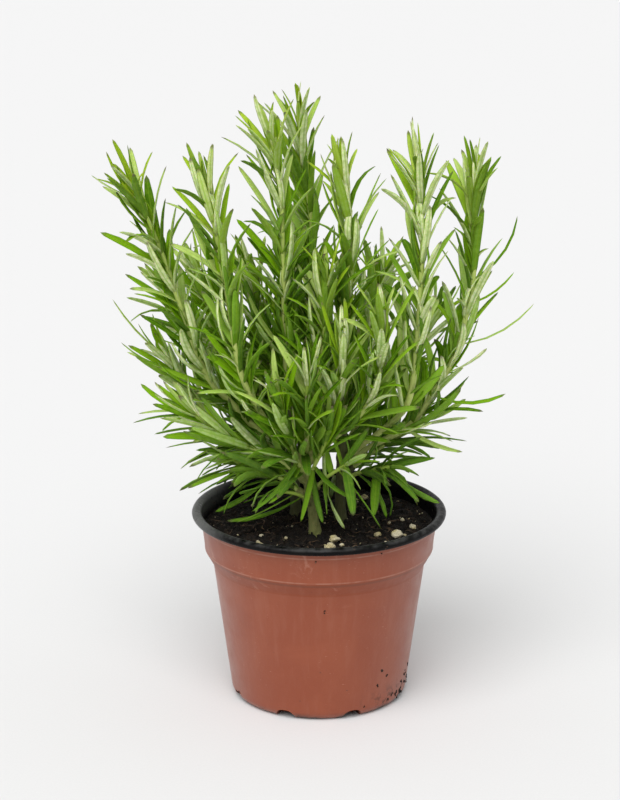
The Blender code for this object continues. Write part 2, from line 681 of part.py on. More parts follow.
def stem_mesh(plant, index):
    """The closed tube of a shoot's stem."""
    stem = plant.stem(index)
    length = route_lengths(stem)[-1]
    places = np.linspace(0, length, max(3, int(round(length / STEM_RING_STEP)) + 1))
    return tube(stretch(stem, places), stem_radii(length - places), STEM_SIDES, stem_spin(index))


def crown_meshes(plant, crown):
    """The tubes of a crown: its trunk, then the barked foot of each of its branches."""
    trunk = smooth_route(TRUNKS[crown][1], TRUNK_RING_STEP)
    meshes = [tube(trunk, np.linspace(TRUNK_FOOT_RADIUS, TRUNK_TOP_RADIUS, len(trunk)), TRUNK_SIDES)]
    for index, shoot in enumerate(SHOOTS):
        if shoot[1] == crown:
            route = plant.branch(index)
            meshes.append(tube(route, np.full(len(route), BARK_RADIUS), BARK_SIDES))
    return meshes


def pair_pitch(from_tip):
    """How far the next leaf pair is down the stem: close together near the tip."""
    return PAIR_PITCH_TIP + (PAIR_PITCH - PAIR_PITCH_TIP) * min(from_tip / PAIR_ZONE, 1)


def place_leaves(plant):
    """The leaves of every shoot. A leaf that would touch another shoot or the wood is turned, cut short or
    left out."""
    stems = [stem_mesh(plant, index) for index in range(len(SHOOTS))]
    wood = [mesh for crown in range(len(TRUNKS)) for mesh in crown_meshes(plant, crown)]
    placed = []
    leaves_of = []
    for index, shoot in enumerate(SHOOTS):
        rng = np.random.default_rng((SEED, index))
        others = tree_of(wood + [stem for other, stem in enumerate(stems) if other != index] + placed)
        stem = plant.stem(index)
        frames = route_frames(stem)
        lengths = route_lengths(stem)
        leaves = [known_leaf(stem, *known[1:]) for known in KNOWN_LEAVES if known[0] == shoot[0]]
        from_tip = FIRST_PAIR
        azimuth = stem_spin(index)
        tight = TIGHT_SHOOTS.get(shoot[0], 0.0)
        while from_tip < lengths[-1] - BARE_FEET.get(shoot[0], BARE_FOOT):
            place = int(np.argmin(np.abs(lengths[-1] - lengths - from_tip)))
            for half in (0, math.pi):
                for attempt in range(PLACE_TRIES):
                    wander = AIM_WANDER + AIM_WANDER_STEP * attempt
                    aim = azimuth + half + rng.uniform(-wander, wander)
                    leaf = leaf_at(stem, frames, place, aim, from_tip, rng, tight)
                    leaf["length"] *= 1 - SHORTEN_STEP * attempt
                    if clear_of_pot(leaf) and not tree_of([leaf_mesh(leaf, LEAF_CLEAR)]).overlap(others):
                        leaves.append(leaf)
                        break
            azimuth += math.pi / 2
            from_tip += pair_pitch(from_tip)
        placed += [leaf_mesh(leaf) for leaf in leaves]
        leaves_of.append(leaves)
    return leaves_of


def make_crowns(plant):
    """The woody trunks with the barked feet of their branches."""
    material = plain_material("stem_bark", (0.16, 0.10, 0.05), 0.85)
    for crown, (name, points) in enumerate(TRUNKS):
        trunk_mesh, *branch_meshes = crown_meshes(plant, crown)
        trunk = mesh_object(name, *trunk_mesh, material)
        branches = [mesh_object(f"{name}_branch", *mesh) for mesh in branch_meshes]
        apply_boolean(trunk, "UNION", branches)


def make_shoots(plant):
    """The green shoots: a slim stem with its needle leaves joined to it."""
    material = plain_material("leaf_green", (0.09, 0.22, 0.02), 0.5)
    leaves_of = place_leaves(plant)
    for index, shoot in enumerate(SHOOTS):
        stem = mesh_object(shoot[0], *stem_mesh(plant, index), material)
        leaves = [mesh_object(f"{shoot[0]}_leaf", *leaf_mesh(leaf)) for leaf in leaves_of[index]]
        apply_boolean(stem, "UNION", leaves)


def clear_scene():
    """Starts from an empty scene."""
    for thing in list(bpy.data.objects):
        bpy.data.objects.remove(thing)


clear_scene()
make_pot()
make_soil()
make_crumbs()
rosemary = Plant()
make_crowns(rosemary)
make_shoots(rosemary)
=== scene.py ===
"""The looks of a rosemary plant in a thin plastic nursery pot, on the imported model's frame.

Lengths are millimetres unless a comment says otherwise, and MM turns them into metres.
"""

import json
import math

import bmesh
import bpy
import numpy as np
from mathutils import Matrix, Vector
from mathutils.bvhtree import BVHTree

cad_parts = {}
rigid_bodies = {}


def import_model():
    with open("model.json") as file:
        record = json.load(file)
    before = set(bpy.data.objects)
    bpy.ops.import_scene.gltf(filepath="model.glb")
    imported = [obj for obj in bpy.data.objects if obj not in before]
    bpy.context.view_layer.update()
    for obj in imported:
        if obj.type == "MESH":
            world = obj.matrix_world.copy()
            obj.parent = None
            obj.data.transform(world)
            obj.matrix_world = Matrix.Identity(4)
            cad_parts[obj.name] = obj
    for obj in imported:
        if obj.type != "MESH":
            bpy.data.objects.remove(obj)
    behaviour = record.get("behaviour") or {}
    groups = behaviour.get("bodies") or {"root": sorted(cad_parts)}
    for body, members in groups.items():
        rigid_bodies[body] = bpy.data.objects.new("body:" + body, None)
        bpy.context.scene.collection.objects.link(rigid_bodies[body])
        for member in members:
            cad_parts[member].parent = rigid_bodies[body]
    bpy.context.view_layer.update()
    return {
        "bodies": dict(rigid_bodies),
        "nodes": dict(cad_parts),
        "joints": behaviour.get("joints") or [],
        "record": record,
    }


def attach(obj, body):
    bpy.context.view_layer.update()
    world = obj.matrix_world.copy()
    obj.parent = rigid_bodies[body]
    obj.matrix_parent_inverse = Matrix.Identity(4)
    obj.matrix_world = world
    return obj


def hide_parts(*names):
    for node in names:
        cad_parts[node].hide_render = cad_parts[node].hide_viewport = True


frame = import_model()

MM = 0.001


# The pot is a thermoformed nursery pot, about a millimetre of polypropylene. Its sheet has two layers,
# terracotta outside and black inside, and the rolled lip shows the black one. It is scuffed and a little
# muddy at the foot, where the drain notches are.
POT_SIDES = 288
POT_SHARP_ANGLE = 48
UNDERSIDE_POINTS = 7
NOTCHES = 8
NOTCH_WIDTH = 10.0
NOTCH_HEIGHT = 4.6
NOTCH_DEPTH = 11.0
NOTCH_OUTSIDE = 48.0
NOTCH_STEPS = 9
NOTCH_SHOULDER = 0.55
NOTCH_BELOW = 2
WALL_FOOT = 45.7
WALL_WIDENING = 8.9
WALL_LOW = 5.0
WALL_RISE = 66.0
WALL_THICK = 1
TERRACOTTA = (0.236, 0.047, 0.014)
TERRACOTTA_CLOUD = (0.260, 0.057, 0.019)
TERRACOTTA_WORN = (0.290, 0.090, 0.048)
TERRACOTTA_SPECK = (0.270, 0.070, 0.040)
# Painted shade in the crease under the collar
TERRACOTTA_CREASE_SHADE = (0.130, 0.034, 0.013)
# Painted highlight: the colour of two thin pale lines on the collar
TERRACOTTA_EDGE_HIGHLIGHT = (0.520, 0.300, 0.220)
BLOOM = (0.560, 0.300, 0.220)
SCUFF = (0.620, 0.360, 0.270)
# Mud, and the same dark used as painted shade just under the lip
MUD_AND_LIP_SHADE = (0.020, 0.013, 0.009)
PLASTIC_BLACK = (0.0022, 0.0022, 0.0024)
PLASTIC_DUST = (0.007, 0.006, 0.005)
PLASTIC_RUBBED = (0.090, 0.090, 0.088)
# Painted highlight: the grey of the lip's left side
PLASTIC_LEFT_HIGHLIGHT = (0.120, 0.122, 0.117)
PLASTIC_SPECK = (0.060, 0.040, 0.026)
# In metres, as all heights in a material: where the painted shade in the crease under the collar and the
# matt step start, are full, fade and end, and where the two thin painted highlight lines on the collar start
CREASE_SHADE_HEIGHTS = (0.0763, 0.0771, 0.0778, 0.0785)
STEP_HEIGHTS = (0.0700, 0.0714, 0.0784, 0.0794)
HIGHLIGHT_LINE_HEIGHTS = (0.0788, 0.0922)


class Paint:
    """A Principled material, with short ways to add the nodes that drive it."""

    def __init__(self, name):
        self.material = bpy.data.materials.new(name)
        self.material.use_nodes = True
        self.tree = self.material.node_tree
        self.here = self.place()

    def put(self, socket, value):
        """Links the socket to another one, or sets it to a plain value."""
        if isinstance(value, bpy.types.NodeSocket):
            self.tree.links.new(value, socket)
        elif socket.type == "RGBA":
            socket.default_value = (*value, 1)
        else:
            socket.default_value = value

    def node(self, kind, values, **settings):
        """The outputs of a new node with these settings and these values on its inputs."""
        node = self.tree.nodes.new("ShaderNode" + kind)
        for name, setting in settings.items():
            setattr(node, name, setting)
        for name, value in values.items():
            self.put(node.inputs[name], value)
        return node.outputs

    def finish(self, **values):
        """Sets the shader's sockets, whose names are given with underscores for spaces."""
        for name, value in values.items():
            self.put(self.tree.nodes["Principled BSDF"].inputs[name.replace("_", " ")], value)
        return self.material

    def place(self, scale=(1, 1, 1)):
        """Object coordinates, stretched along each axis."""
        source = self.node("TexCoord", {})["Object"]
        return self.node("Mapping", {"Vector": source, "Scale": scale})["Vector"]

    def axes(self):
        """The three numbers of the place."""
        return self.node("SeparateXYZ", {"Vector": self.here})

    def attribute(self, name):
        """A number stored on the points of the mesh."""
        return self.node("Attribute", {}, attribute_name=name)["Fac"]

    def noise(self, scale, detail=3.0, roughness=0.5, warp=0.0, at=None):
        """Soft noise from 0 to 1, with scale features to a metre."""
        return self.node("TexNoise", {"Vector": at or self.here, "Scale": scale, "Detail": detail,
                                      "Roughness": roughness, "Distortion": warp})["Fac"]

    def cells(self, scale):
        """Distance to the nearest of scattered points, with scale of them to a metre."""
        return self.node("TexVoronoi", {"Vector": self.here, "Scale": scale})["Distance"]

    def span(self, value, low, high, to_low=0.0, to_high=1.0):
        """Maps low..high to to_low..to_high, smoothly and without overshoot."""
        ends = {"Value": value, "From Min": low, "From Max": high, "To Min": to_low, "To Max": to_high}
        return self.node("MapRange", ends, interpolation_type="SMOOTHSTEP")["Result"]

    def band(self, value, start, full, fade, end):
        """One from full to fade, and none before the start and after the end."""
        return self.times(self.span(value, start, full), self.span(value, end, fade))

    def reckon(self, operation, first, second=0.0):
        """Two numbers put together by one of the Math operations."""
        return self.node("Math", {0: first, 1: second}, operation=operation)["Value"]

    def times(self, product, *factors):
        """The product of all the numbers."""
        for factor in factors:
            product = self.reckon("MULTIPLY", product, factor)
        return product

    def coated(self, colour, *coats):
        """A colour with coats laid over it in turn, each a share and a colour of its own. The numbers are
        those of the Mix node's colour sockets."""
        for share, coat in coats:
            colour = self.node("Mix", {0: share, 6: colour, 7: coat}, data_type="RGBA")[2]
        return colour

    def bump(self, height, depth, below=None):
        """A bump normal from a height of 0 to 1, where depth is the height of 1 in metres."""
        values = {"Distance": depth, "Height": height}
        if below:
            values["Normal"] = below
        return self.node("Bump", values)["Normal"]


def mesh_piece(name, points, faces, materials, attributes=None, slots=None, smooth=True):
    """An object made of points in millimetres, with numbers on its points and a material slot per face."""
    mesh = bpy.data.meshes.new(name)
    mesh.from_pydata((np.asarray(points) * MM).tolist(), [], faces)
    for material in materials:
        mesh.materials.append(material)
    if slots is not None:
        mesh.polygons.foreach_set("material_index", np.asarray(slots, dtype=np.int32))
    for label, values in (attributes or {}).items():
        layer = mesh.attributes.new(label, "FLOAT", "POINT")
        layer.data.foreach_set("value", np.asarray(values, dtype=np.float32))
    if smooth:
        mesh.shade_smooth()
    mesh.update()
    piece = bpy.data.objects.new(name, mesh)
    bpy.context.scene.collection.objects.link(piece)
    return piece


def hand_in(piece, slot, *nodes):
    """The piece rides on the plant's root body and stands for the nodes, which it hides. The slot is not
    used.
    """
    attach(piece, "root")
    if nodes:
        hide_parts(*nodes)


def arc(centre, radius, start, stop, count):
    """Points on an arc in the radius and height plane, with angles in degrees from outwards."""
    turn = np.radians(np.linspace(start, stop, count))
    return list(zip(centre[0] + radius * np.cos(turn), centre[1] + radius * np.sin(turn)))


def bands(rows, sides):
    """The faces between neighbouring rows of points, where each row is a closed ring of this many sides."""
    low = np.arange(rows - 1)[:, None] * sides
    side = np.arange(sides)[None]
    after = (side + 1) % sides
    faces = np.stack([low + side, low + after, low + sides + after, low + sides + side], axis=-1)
    return faces.reshape(-1, 4)


def lathe(profile, sides):
    """Points and faces of a closed profile of radius and height, turned round Z."""
    turn = np.arange(sides) * 2 * math.pi / sides
    ring, height = np.array(profile, float).T
    points = np.stack([ring[:, None] * np.cos(turn), ring[:, None] * np.sin(turn),
                       np.broadcast_to(height[:, None], (len(ring), sides))], axis=-1).reshape(-1, 3)
    return points, bands(len(ring) + 1, sides) % len(points)


def terracotta_plastic():
    """The outer layer: satin terracotta with flow marks, scuffs, a pale bloom, mud and splashes; and painted
    light: shade in the crease under the collar and just under the lip, and two thin highlight lines on the
    collar.
    """
    paint = Paint("pot_terracotta_plastic")
    x, y, z = paint.axes()
    flow = paint.noise(260, 3.0, 0.6, at=paint.place((1, 1, 0.09)))
    scratch = paint.noise(420, 2.0, at=paint.place((1, 1, 7)))
    bloom = paint.times(paint.span(paint.noise(70, 5.0, 0.65, 1.0), 0.60, 0.72, 0.0, 0.28),
                        paint.span(z, 0.045, 0.085))
    scuffs = paint.times(paint.span(scratch, 0.70, 0.76), paint.span(paint.noise(45, 2.0), 0.5, 0.65), 0.5)
    specks = paint.times(paint.span(paint.cells(330), 0.20, 0.13),
                         paint.span(paint.noise(110, 2.0), 0.62, 0.68),
                         paint.span(z, 0.040, 0.004, 0.12, 1.0))
    smear = paint.times(paint.span(x, 0.012, 0.043), paint.span(z, 0.017, 0.002),
                        paint.span(paint.noise(190, 5.0, 0.7, 0.5), 0.50, 0.62))
    ring = paint.times(paint.span(z, 0.0045, 0.0005), paint.span(paint.noise(120, 4.0), 0.45, 0.6), 0.75)
    # Painted shade: a dark band just under the lip, in the mud colour and kept with the mud below
    lip = paint.times(paint.span(z, 0.0935, 0.0958), paint.span(paint.noise(160, 4.0), 0.40, 0.65), 0.6)
    mud = paint.reckon("MAXIMUM", paint.reckon("MAXIMUM", smear, ring), lip)
    # Painted highlights: two thin pale lines on the collar, near its foot and under the lip, broken up by
    # noise
    highlight_breaks = paint.span(paint.noise(140, 3.0, 0.6), 0.35, 0.60, 0.25, 1.0)
    edges = [paint.times(paint.band(z, low, low + 0.0003, low + 0.0006, low + 0.0010), highlight_breaks, 0.28)
             for low in HIGHLIGHT_LINE_HEIGHTS]
    colour = paint.coated(
        TERRACOTTA,
        (paint.span(paint.noise(38, 4.0, 0.6, 0.6), 0.35, 0.75), TERRACOTTA_CLOUD),
        (paint.span(flow, 0.45, 0.8, 0.0, 0.35), TERRACOTTA_WORN),
        (paint.span(paint.noise(1500, 2.0, 0.6), 0.55, 0.75, 0.0, 0.30), TERRACOTTA_SPECK),
        (bloom, BLOOM), (scuffs, SCUFF), (specks, MUD_AND_LIP_SHADE), (mud, MUD_AND_LIP_SHADE),
        # painted shade in the crease under the collar
        (paint.times(paint.band(z, *CREASE_SHADE_HEIGHTS), 0.45), TERRACOTTA_CREASE_SHADE),
        # painted highlight lines on the collar
        *((edge, TERRACOTTA_EDGE_HIGHLIGHT) for edge in edges))
    step = paint.band(z, *STEP_HEIGHTS)
    rough = paint.span(paint.noise(90, 4.0, 0.6), 0.3, 0.7, 0.34, 0.46)
    for part, amount in ((mud, 0.4), (step, 0.10)):
        rough = paint.reckon("ADD", rough, paint.times(part, amount))
    peel = paint.bump(paint.noise(520, 2.0), 0.00005)
    wavy = paint.bump(paint.noise(30, 2.0, at=paint.place((1, 1, 0.4))), 0.0006, peel)
    return paint.finish(Base_Color=colour, Roughness=rough, Normal=wavy, IOR=1.49,
                        Specular_IOR_Level=paint.span(step, 0.0, 1.0, 0.50, 0.30), Sheen_Weight=0.10)


def black_plastic():
    """The inner layer and the lip: satin black, dusty with dried peat, rubbed grey along the lip's edge, and
    a painted grey highlight on the lip's left side.
    """
    paint = Paint("pot_black_plastic")
    x, y, z = paint.axes()
    dust = paint.span(paint.noise(130, 5.0, 0.65, 0.4), 0.42, 0.68)
    rubbed = paint.times(paint.span(z, 0.0975, 0.0992), paint.span(paint.noise(240), 0.35, 0.7), 0.4)
    # Painted highlight: the lip's left side is made grey
    left_highlight = paint.times(paint.span(x, -0.044, -0.062, 0.0, 0.8), paint.span(z, 0.090, 0.096))
    specks = paint.times(paint.span(paint.cells(420), 0.22, 0.14),
                         paint.span(paint.noise(150, 2.0), 0.55, 0.62))
    colour = paint.coated(PLASTIC_BLACK, (paint.times(dust, 0.35), PLASTIC_DUST), (rubbed, PLASTIC_RUBBED),
                          (left_highlight, PLASTIC_LEFT_HIGHLIGHT), (specks, PLASTIC_SPECK))
    rough = paint.reckon("ADD", paint.span(paint.noise(300), 0.3, 0.7, 0.22, 0.34), paint.times(dust, 0.16))
    peel = paint.bump(paint.noise(700), 0.00006)
    return paint.finish(Base_Color=colour, Roughness=rough, Normal=peel, IOR=1.49, Specular_IOR_Level=0.09)


def wall_radius(height):
    """Outer radius of the straight wall between the foot and the step under the collar."""
    return WALL_FOOT + WALL_WIDENING * (height - WALL_LOW) / WALL_RISE


def pot_profile():
    """The cut face of the pot: up the outside, over the rolled lip and down the inside, then the number of
    points that belong to the terracotta layer."""
    outside = [(36.0, 0.0), (38.5, 0.0)] + arc((40.7, 5.0), 5.0, -90, 0, 9)
    outside += [(wall_radius(z), z) for z in np.linspace(9, 69.6, 16)]
    outside += [(54.55, 70.6), (54.85, 71.5), (55.5, 72.8), (56.6, 74.7), (57.85, 77.0), (58.5, 78.1),
                (58.85, 78.75), (58.98, 79.3), (58.95, 80.0), (59.2, 83.0), (59.7, 87.0), (60.2, 91.0),
                (60.6, 94.0), (60.9, 95.2), (61.5, 95.72)]
    lip = [(61.6, 95.78), (63.5, 95.8)] + arc((63.8, 97.3), 1.5, -80, 0, 6)
    lip += arc((63.1, 97.2), 2.3, 8, 120, 12) + [(61.2, 98.9), (60.6, 98.3), (60.15, 97.2)]
    inside = [(59.9, 95.5), (59.5, 92.0), (58.9, 87.0), (58.1, 81.2), (57.6, 79.0), (55.8, 75.4),
              (53.9, 71.8), (53.5, 70.2)]
    inside += [(wall_radius(z) - WALL_THICK, z) for z in np.linspace(65, 8, 9)]
    inside += [(44.3, 4.4), (43.0, 2.2), (40.7, 1.0), (35.6, 1.0), (34.2, 2.2), (33.0, 4.0), (20.0, 4.0),
               (5.4, 4.0), (5.0, 3.7)]
    floor = [(5.0, 3.3), (5.4, 3.0), (20.0, 3.0), (33.0, 3.0), (34.0, 2.4), (34.8, 0.4)]
    return outside + lip + inside + floor, len(outside)


def notch_cutters():
    """Blocks with a rounded top that cut the drain notches out of the edge of the foot."""
    cutters = []
    across = np.linspace(-1, 1, NOTCH_STEPS)
    roof = NOTCH_HEIGHT * (1 - NOTCH_SHOULDER * np.abs(across) ** 3.0)
    edge = np.concatenate([np.column_stack([across, roof]), [(1, -NOTCH_BELOW), (-1, -NOTCH_BELOW)]])
    side = edge[:, 0] * NOTCH_WIDTH / 2
    count = len(edge)
    faces = [tuple(range(count)), tuple(reversed(range(count, 2 * count)))]
    faces += [(step, count + step, count + (step + 1) % count, (step + 1) % count) for step in range(count)]
    for notch in range(NOTCHES):
        turn = 2 * math.pi * (notch + 0.5) / NOTCHES
        points = [np.column_stack([radius * math.cos(turn) - side * math.sin(turn),
                                   radius * math.sin(turn) + side * math.cos(turn), edge[:, 1]])
                  for radius in (NOTCH_OUTSIDE - NOTCH_DEPTH, NOTCH_OUTSIDE)]
        cutter = mesh_piece("notch_cutter", np.vstack(points), faces, [], smooth=False)
        work = bmesh.new()
        work.from_mesh(cutter.data)
        bmesh.ops.recalc_face_normals(work, faces=work.faces)
        work.to_mesh(cutter.data)
        work.free()
        cutters.append(cutter)
    return cutters


def applied(piece):
    """Swaps the piece's mesh for the one that its modifiers make, and clears them."""
    bpy.context.view_layer.update()
    finished = bpy.data.meshes.new_from_object(piece.evaluated_get(bpy.context.evaluated_depsgraph_get()))
    piece.modifiers.clear()
    rough = piece.data
    piece.data = finished
    bpy.data.meshes.remove(rough)


def make_pot():
    """The fine pot with its notches."""
    profile, outer_count = pot_profile()
    points, faces = lathe(profile, POT_SIDES)
    slots = np.repeat(np.where(np.arange(len(profile)) < outer_count - 1, 0, 1), POT_SIDES)
    slots[faces.min(axis=1) // POT_SIDES >= len(profile) - UNDERSIDE_POINTS] = 0
    plastics = [terracotta_plastic(), black_plastic()]
    pot = mesh_piece("pot_shell", points, faces.tolist(), plastics, slots=slots)
    cutters = notch_cutters()
    holder = bpy.data.collections.new("notch_cutters")
    for cutter in cutters:
        bpy.context.scene.collection.objects.unlink(cutter)
        holder.objects.link(cutter)
    bpy.context.scene.collection.children.link(holder)
    cut = pot.modifiers.new("notches", "BOOLEAN")
    cut.operation = "DIFFERENCE"
    cut.solver = "EXACT"
    cut.operand_type = "COLLECTION"
    cut.collection = holder
    applied(pot)
    for cutter in cutters:
        bpy.data.objects.remove(cutter)
    bpy.data.collections.remove(holder)
    pot.data.set_sharp_from_angle(angle=math.radians(POT_SHARP_ANGLE))
    hand_in(pot, "pot_plastic", "pot")


make_pot()


# Mud on the pot: splashes of peat that dried on the foot at the front right, each a thin crumbly lump
# pressed on to the wall. A place is the angle round the pot, the height and the lump's size.
SPLASHES = (
    (-48.0, 23.6, 1.0), (-42.9, 19.8, 0.9), (-50.9, 15.8, 0.9), (-59.8, 5.9, 0.8), (-83.2, 4.1, 1.1),
    (-24.1, 11.0, 1.3), (-23.6, 5.7, 1.9), (-19.0, 14.0, 1.5), (-14.0, 17.5, 1.2), (-30.0, 6.0, 1.5),
    (-35.3, 6.5, 1.2), (-39.0, 5.0, 1.0), (-10.0, 9.0, 1.6), (-5.0, 5.0, 1.6), (-17.0, 8.5, 1.7),
    (-26.0, 3.5, 1.5), (-87.0, 63.0, 0.55), (-87.2, 61.9, 0.45), (-91.6, 91.5, 0.6), (-59.4, 93.0, 0.6),
    (-66.0, 3.0, 0.9), (-155.0, 5.0, 1.0), (140.0, 6.0, 1.5), (80.0, 4.0, 1.4),
)
SPLASH_SEED = 11
SPLASH_LUMPS = 5
SPLASH_SCATTER = 0.45
SPLASH_LUMP_SIZES = (0.35, 0.75)
SPLASH_FLATNESS = 0.55
SPLASH_PROUD = 0.05
SPLASH_LOWEST = 1.2
SPLASH_BRIGHTNESS = 1.6
CLOD_CORNERS = (0.62, 1.12)
CLOD_STRETCHES = (0.7, 1.15)
# The pot's outer radius at these heights, where the mud clings
MUD_HEIGHTS = (0, 1.5, 5, 70, 77.5, 95.9)
MUD_RADII = (41.2, 44.2, 45.7, 54.5, 58.9, 60.9)
PEAT_DARK = (0.0040, 0.0030, 0.0022)
PEAT_BROWN = (0.0200, 0.0125, 0.0075)
PEAT_FIBRE = (0.070, 0.048, 0.030)
PEAT_GRIT = (0.16, 0.13, 0.085)


def read_rows(items, label, kind=float):
    """The three numbers of this name of each point, normal or triangle of a mesh, as rows."""
    rows = np.empty(len(items) * 3, kind)
    items.foreach_get(label, rows)
    return rows.reshape(-1, 3)


def ball(level):
    """Points and faces of a sphere with radius one, made of triangles."""
    bpy.ops.mesh.primitive_ico_sphere_add(subdivisions=level, radius=1)
    source = bpy.context.object
    points = read_rows(source.data.vertices, "co")
    faces = read_rows(source.data.polygons, "vertices", int)
    bpy.data.objects.remove(source)
    return points, faces


def clods(centres, sizes, rng):
    """Points and faces of many uneven lumps of twenty faces, and the number of each point's lump. A lump is
    a sphere whose corners are drawn in or out and whose three axes are stretched, turned round Z."""
    corners, faces = ball(1)
    count = len(centres)
    shape = corners[None] * rng.uniform(*CLOD_CORNERS, (count, len(corners), 1))
    x, y, z = np.moveaxis(shape * rng.uniform(*CLOD_STRETCHES, (count, 1, 3)), 2, 0)
    spin = rng.uniform(0, 2 * math.pi, count)[:, None]
    turned = np.stack([np.cos(spin) * x - np.sin(spin) * y, np.sin(spin) * x + np.cos(spin) * y, z], axis=-1)
    points = np.asarray(centres)[:, None] + turned * np.asarray(sizes)[:, None, None]
    every = faces[None] + (np.arange(count) * len(corners))[:, None, None]
    return points.reshape(-1, 3), every.reshape(-1, 3), np.repeat(np.arange(count), len(corners))


def peat(name, bright=1.0):
    """Moist dark peat: near black with brown fibres and crumbs, and a wet sheen on the fine grains."""
    paint = Paint(name)
    clumps = paint.noise(210, 5.0, 0.7, 0.8)
    grain = paint.noise(1700, 4.0, 0.7)
    fibre = paint.noise(1200, 3.0, 0.6, 2.0, at=paint.place((0.25, 1, 1)))
    grit = paint.times(paint.span(paint.cells(520), 0.16, 0.10),
                       paint.span(paint.noise(260, 2.0), 0.56, 0.62))
    dark, brown, pale, light = [tuple(bright * part for part in colour)
                                for colour in (PEAT_DARK, PEAT_BROWN, PEAT_FIBRE, PEAT_GRIT)]
    colour = paint.coated(dark, (paint.span(clumps, 0.40, 0.66), brown),
                          (paint.span(fibre, 0.66, 0.78, 0.0, 0.55), pale), (grit, light))
    lumpy = paint.bump(clumps, 0.0022, paint.bump(grain, 0.0006))
    return paint.finish(Base_Color=colour, Roughness=paint.span(grain, 0.35, 0.7, 0.55, 0.95), Normal=lumpy,
                        Specular_IOR_Level=0.25)


def make_splashes():
    """The dried mud lumps, half sunk into the pot's surface."""
    rng = np.random.default_rng(SPLASH_SEED)
    centres = []
    sizes = []
    for angle, height, size in SPLASHES:
        wall = np.interp(height, MUD_HEIGHTS, MUD_RADII)
        radius = wall + SPLASH_PROUD * size
        for lump in range(SPLASH_LUMPS):
            turn = math.radians(angle) + rng.normal(0, SPLASH_SCATTER) * size / wall
            level = height + rng.normal(0, SPLASH_SCATTER) * size
            centres.append((radius * math.cos(turn), radius * math.sin(turn), level))
            sizes.append(size * rng.uniform(*SPLASH_LUMP_SIZES))
    centres = np.array(centres)
    centres[:, 2] = np.maximum(centres[:, 2], np.array(sizes) * SPLASH_LOWEST)
    points, faces, number = clods(centres, sizes, rng)
    outward = centres / np.hypot(centres[:, 0], centres[:, 1])[:, None] * (1, 1, 0)
    reach = np.einsum("ij,ij->i", points - centres[number], outward[number])
    points = points - (SPLASH_FLATNESS * reach)[:, None] * outward[number]
    mud = peat("dried_mud", SPLASH_BRIGHTNESS)
    hand_in(mesh_piece("pot_mud", points, faces.tolist(), [mud], smooth=False), "soil")


make_splashes()


# The soil is moist peat that fills the pot to just under the lip. Its surface is a lumpy sheet, strewn
# with loose grains and short fibres, and it closes round the trunks where they come out.
SOIL_TOP = 92.0
SOIL_BOTTOM = 4.4
SOIL_RADIUS = 58.9
SOIL_SWELL = 0.9
SOIL_WAVE_X = 0.19
SOIL_WAVE_Y = 0.23
SOIL_SHIFT_X = 0.7
SOIL_SLANT_X = -0.27
SOIL_SLANT_Y = 0.31
SOIL_SHIFT_SLANT = 2.0
SOIL_SLANT_SHARE = 0.6
SOIL_EDGE_DROP = 1.5
SOIL_EDGE = 59.2
# Radius and height of the soil's underside and side, from the foot up
SOIL_WALL = ((30.0, 4.4), (41.3, 4.4), (44.3, 6.2), (53.0, 70.0), (57.4, 80.5), (58.7, 88.5))
SOIL_RINGS = 120
SOIL_RING_CROWDING = 0.9
SOIL_SIDES = 264
SOIL_SEED = 7
SOIL_LUMPS = (13.0, 11.0, 9.0, 7.5, 6.2, 5.2, 4.4, 3.7, 3.1, 2.7, 2.3, 2.0)
SOIL_LUMP_HEIGHT = 0.050
SOIL_LUMP_SLANT = 1.7
SOIL_LUMP_SWAY = 0.35
SOIL_CALM = 0.7
TRUNK_FEET = ((-2.0, -21.0), (11.0, 2.0), (-12.0, 10.0))
MOUND_HEIGHT = 1.1
MOUND_SPREAD = 55.0
GRAIN_SEED = 3
GRAINS = 2600
GRAIN_REACH = 57.6
GRAIN_LEAST = 0.35
GRAIN_GROWTH = 1.35
GRAIN_RARITY = 3.2
GRAIN_PROUD = 0.25
GRAIN_BRIGHTNESS = 1.5
FIBRE_SEED = 5
FIBRES = 240
FIBRE_REACH = 55.0
FIBRE_EDGE = 57.5
FIBRE_LENGTHS = (2.5, 9.0)
FIBRE_RADII = (0.14, 0.42)
FIBRE_BEND = 0.9
FIBRE_SLIMMING = (0.35, 0.9, 1.0, 0.85, 0.3)
FIBRE_SECTION = ((1, 0), (0, 0.7), (-1, 0), (0, -0.7))
FIBRE_DARK = (0.030, 0.018, 0.010)
FIBRE_PALE = (0.135, 0.080, 0.040)
FIBRE_STREAK = (0.012, 0.008, 0.005)


def soil_level(x, y):
    """Height of the soil without its lumps: broad swells and a fall towards the wall."""
    swell = (np.sin(SOIL_WAVE_X * x + SOIL_SHIFT_X) * np.cos(SOIL_WAVE_Y * y)
             + SOIL_SLANT_SHARE * np.sin(SOIL_SLANT_Y * y + SOIL_SLANT_X * x + SOIL_SHIFT_SLANT))
    edge = (np.hypot(x, y) / SOIL_RADIUS) ** 4
    return SOIL_TOP + SOIL_SWELL * swell * (1 - edge) - SOIL_EDGE_DROP * edge


def soil_height(x, y):
    """Height of the soil's surface: its level, a small mound at each trunk, and waves of many directions and
    sizes whose folded tops make the lumps. They are lower towards the wall."""
    height = soil_level(x, y)
    for foot in TRUNK_FEET:
        height = height + MOUND_HEIGHT * np.exp(-((x - foot[0]) ** 2 + (y - foot[1]) ** 2) / MOUND_SPREAD)
    calm = 1 - SOIL_CALM * (np.hypot(x, y) / SOIL_RADIUS) ** 4
    rng = np.random.default_rng(SOIL_SEED)
    for length in SOIL_LUMPS:
        turn = rng.uniform(0, math.pi)
        phase = rng.uniform(0, 2 * math.pi)
        across = (x * math.sin(turn) - y * math.cos(turn)) * 2 * math.pi / (SOIL_LUMP_SLANT * length)
        sway = SOIL_LUMP_SWAY * length * np.sin(across + phase)
        along = x * math.cos(turn) + y * math.sin(turn) + sway
        wave = np.sin(along * 2 * math.pi / length + phase)
        height = height + SOIL_LUMP_HEIGHT * length * (1 - 2 * np.abs(wave)) * calm
    return height


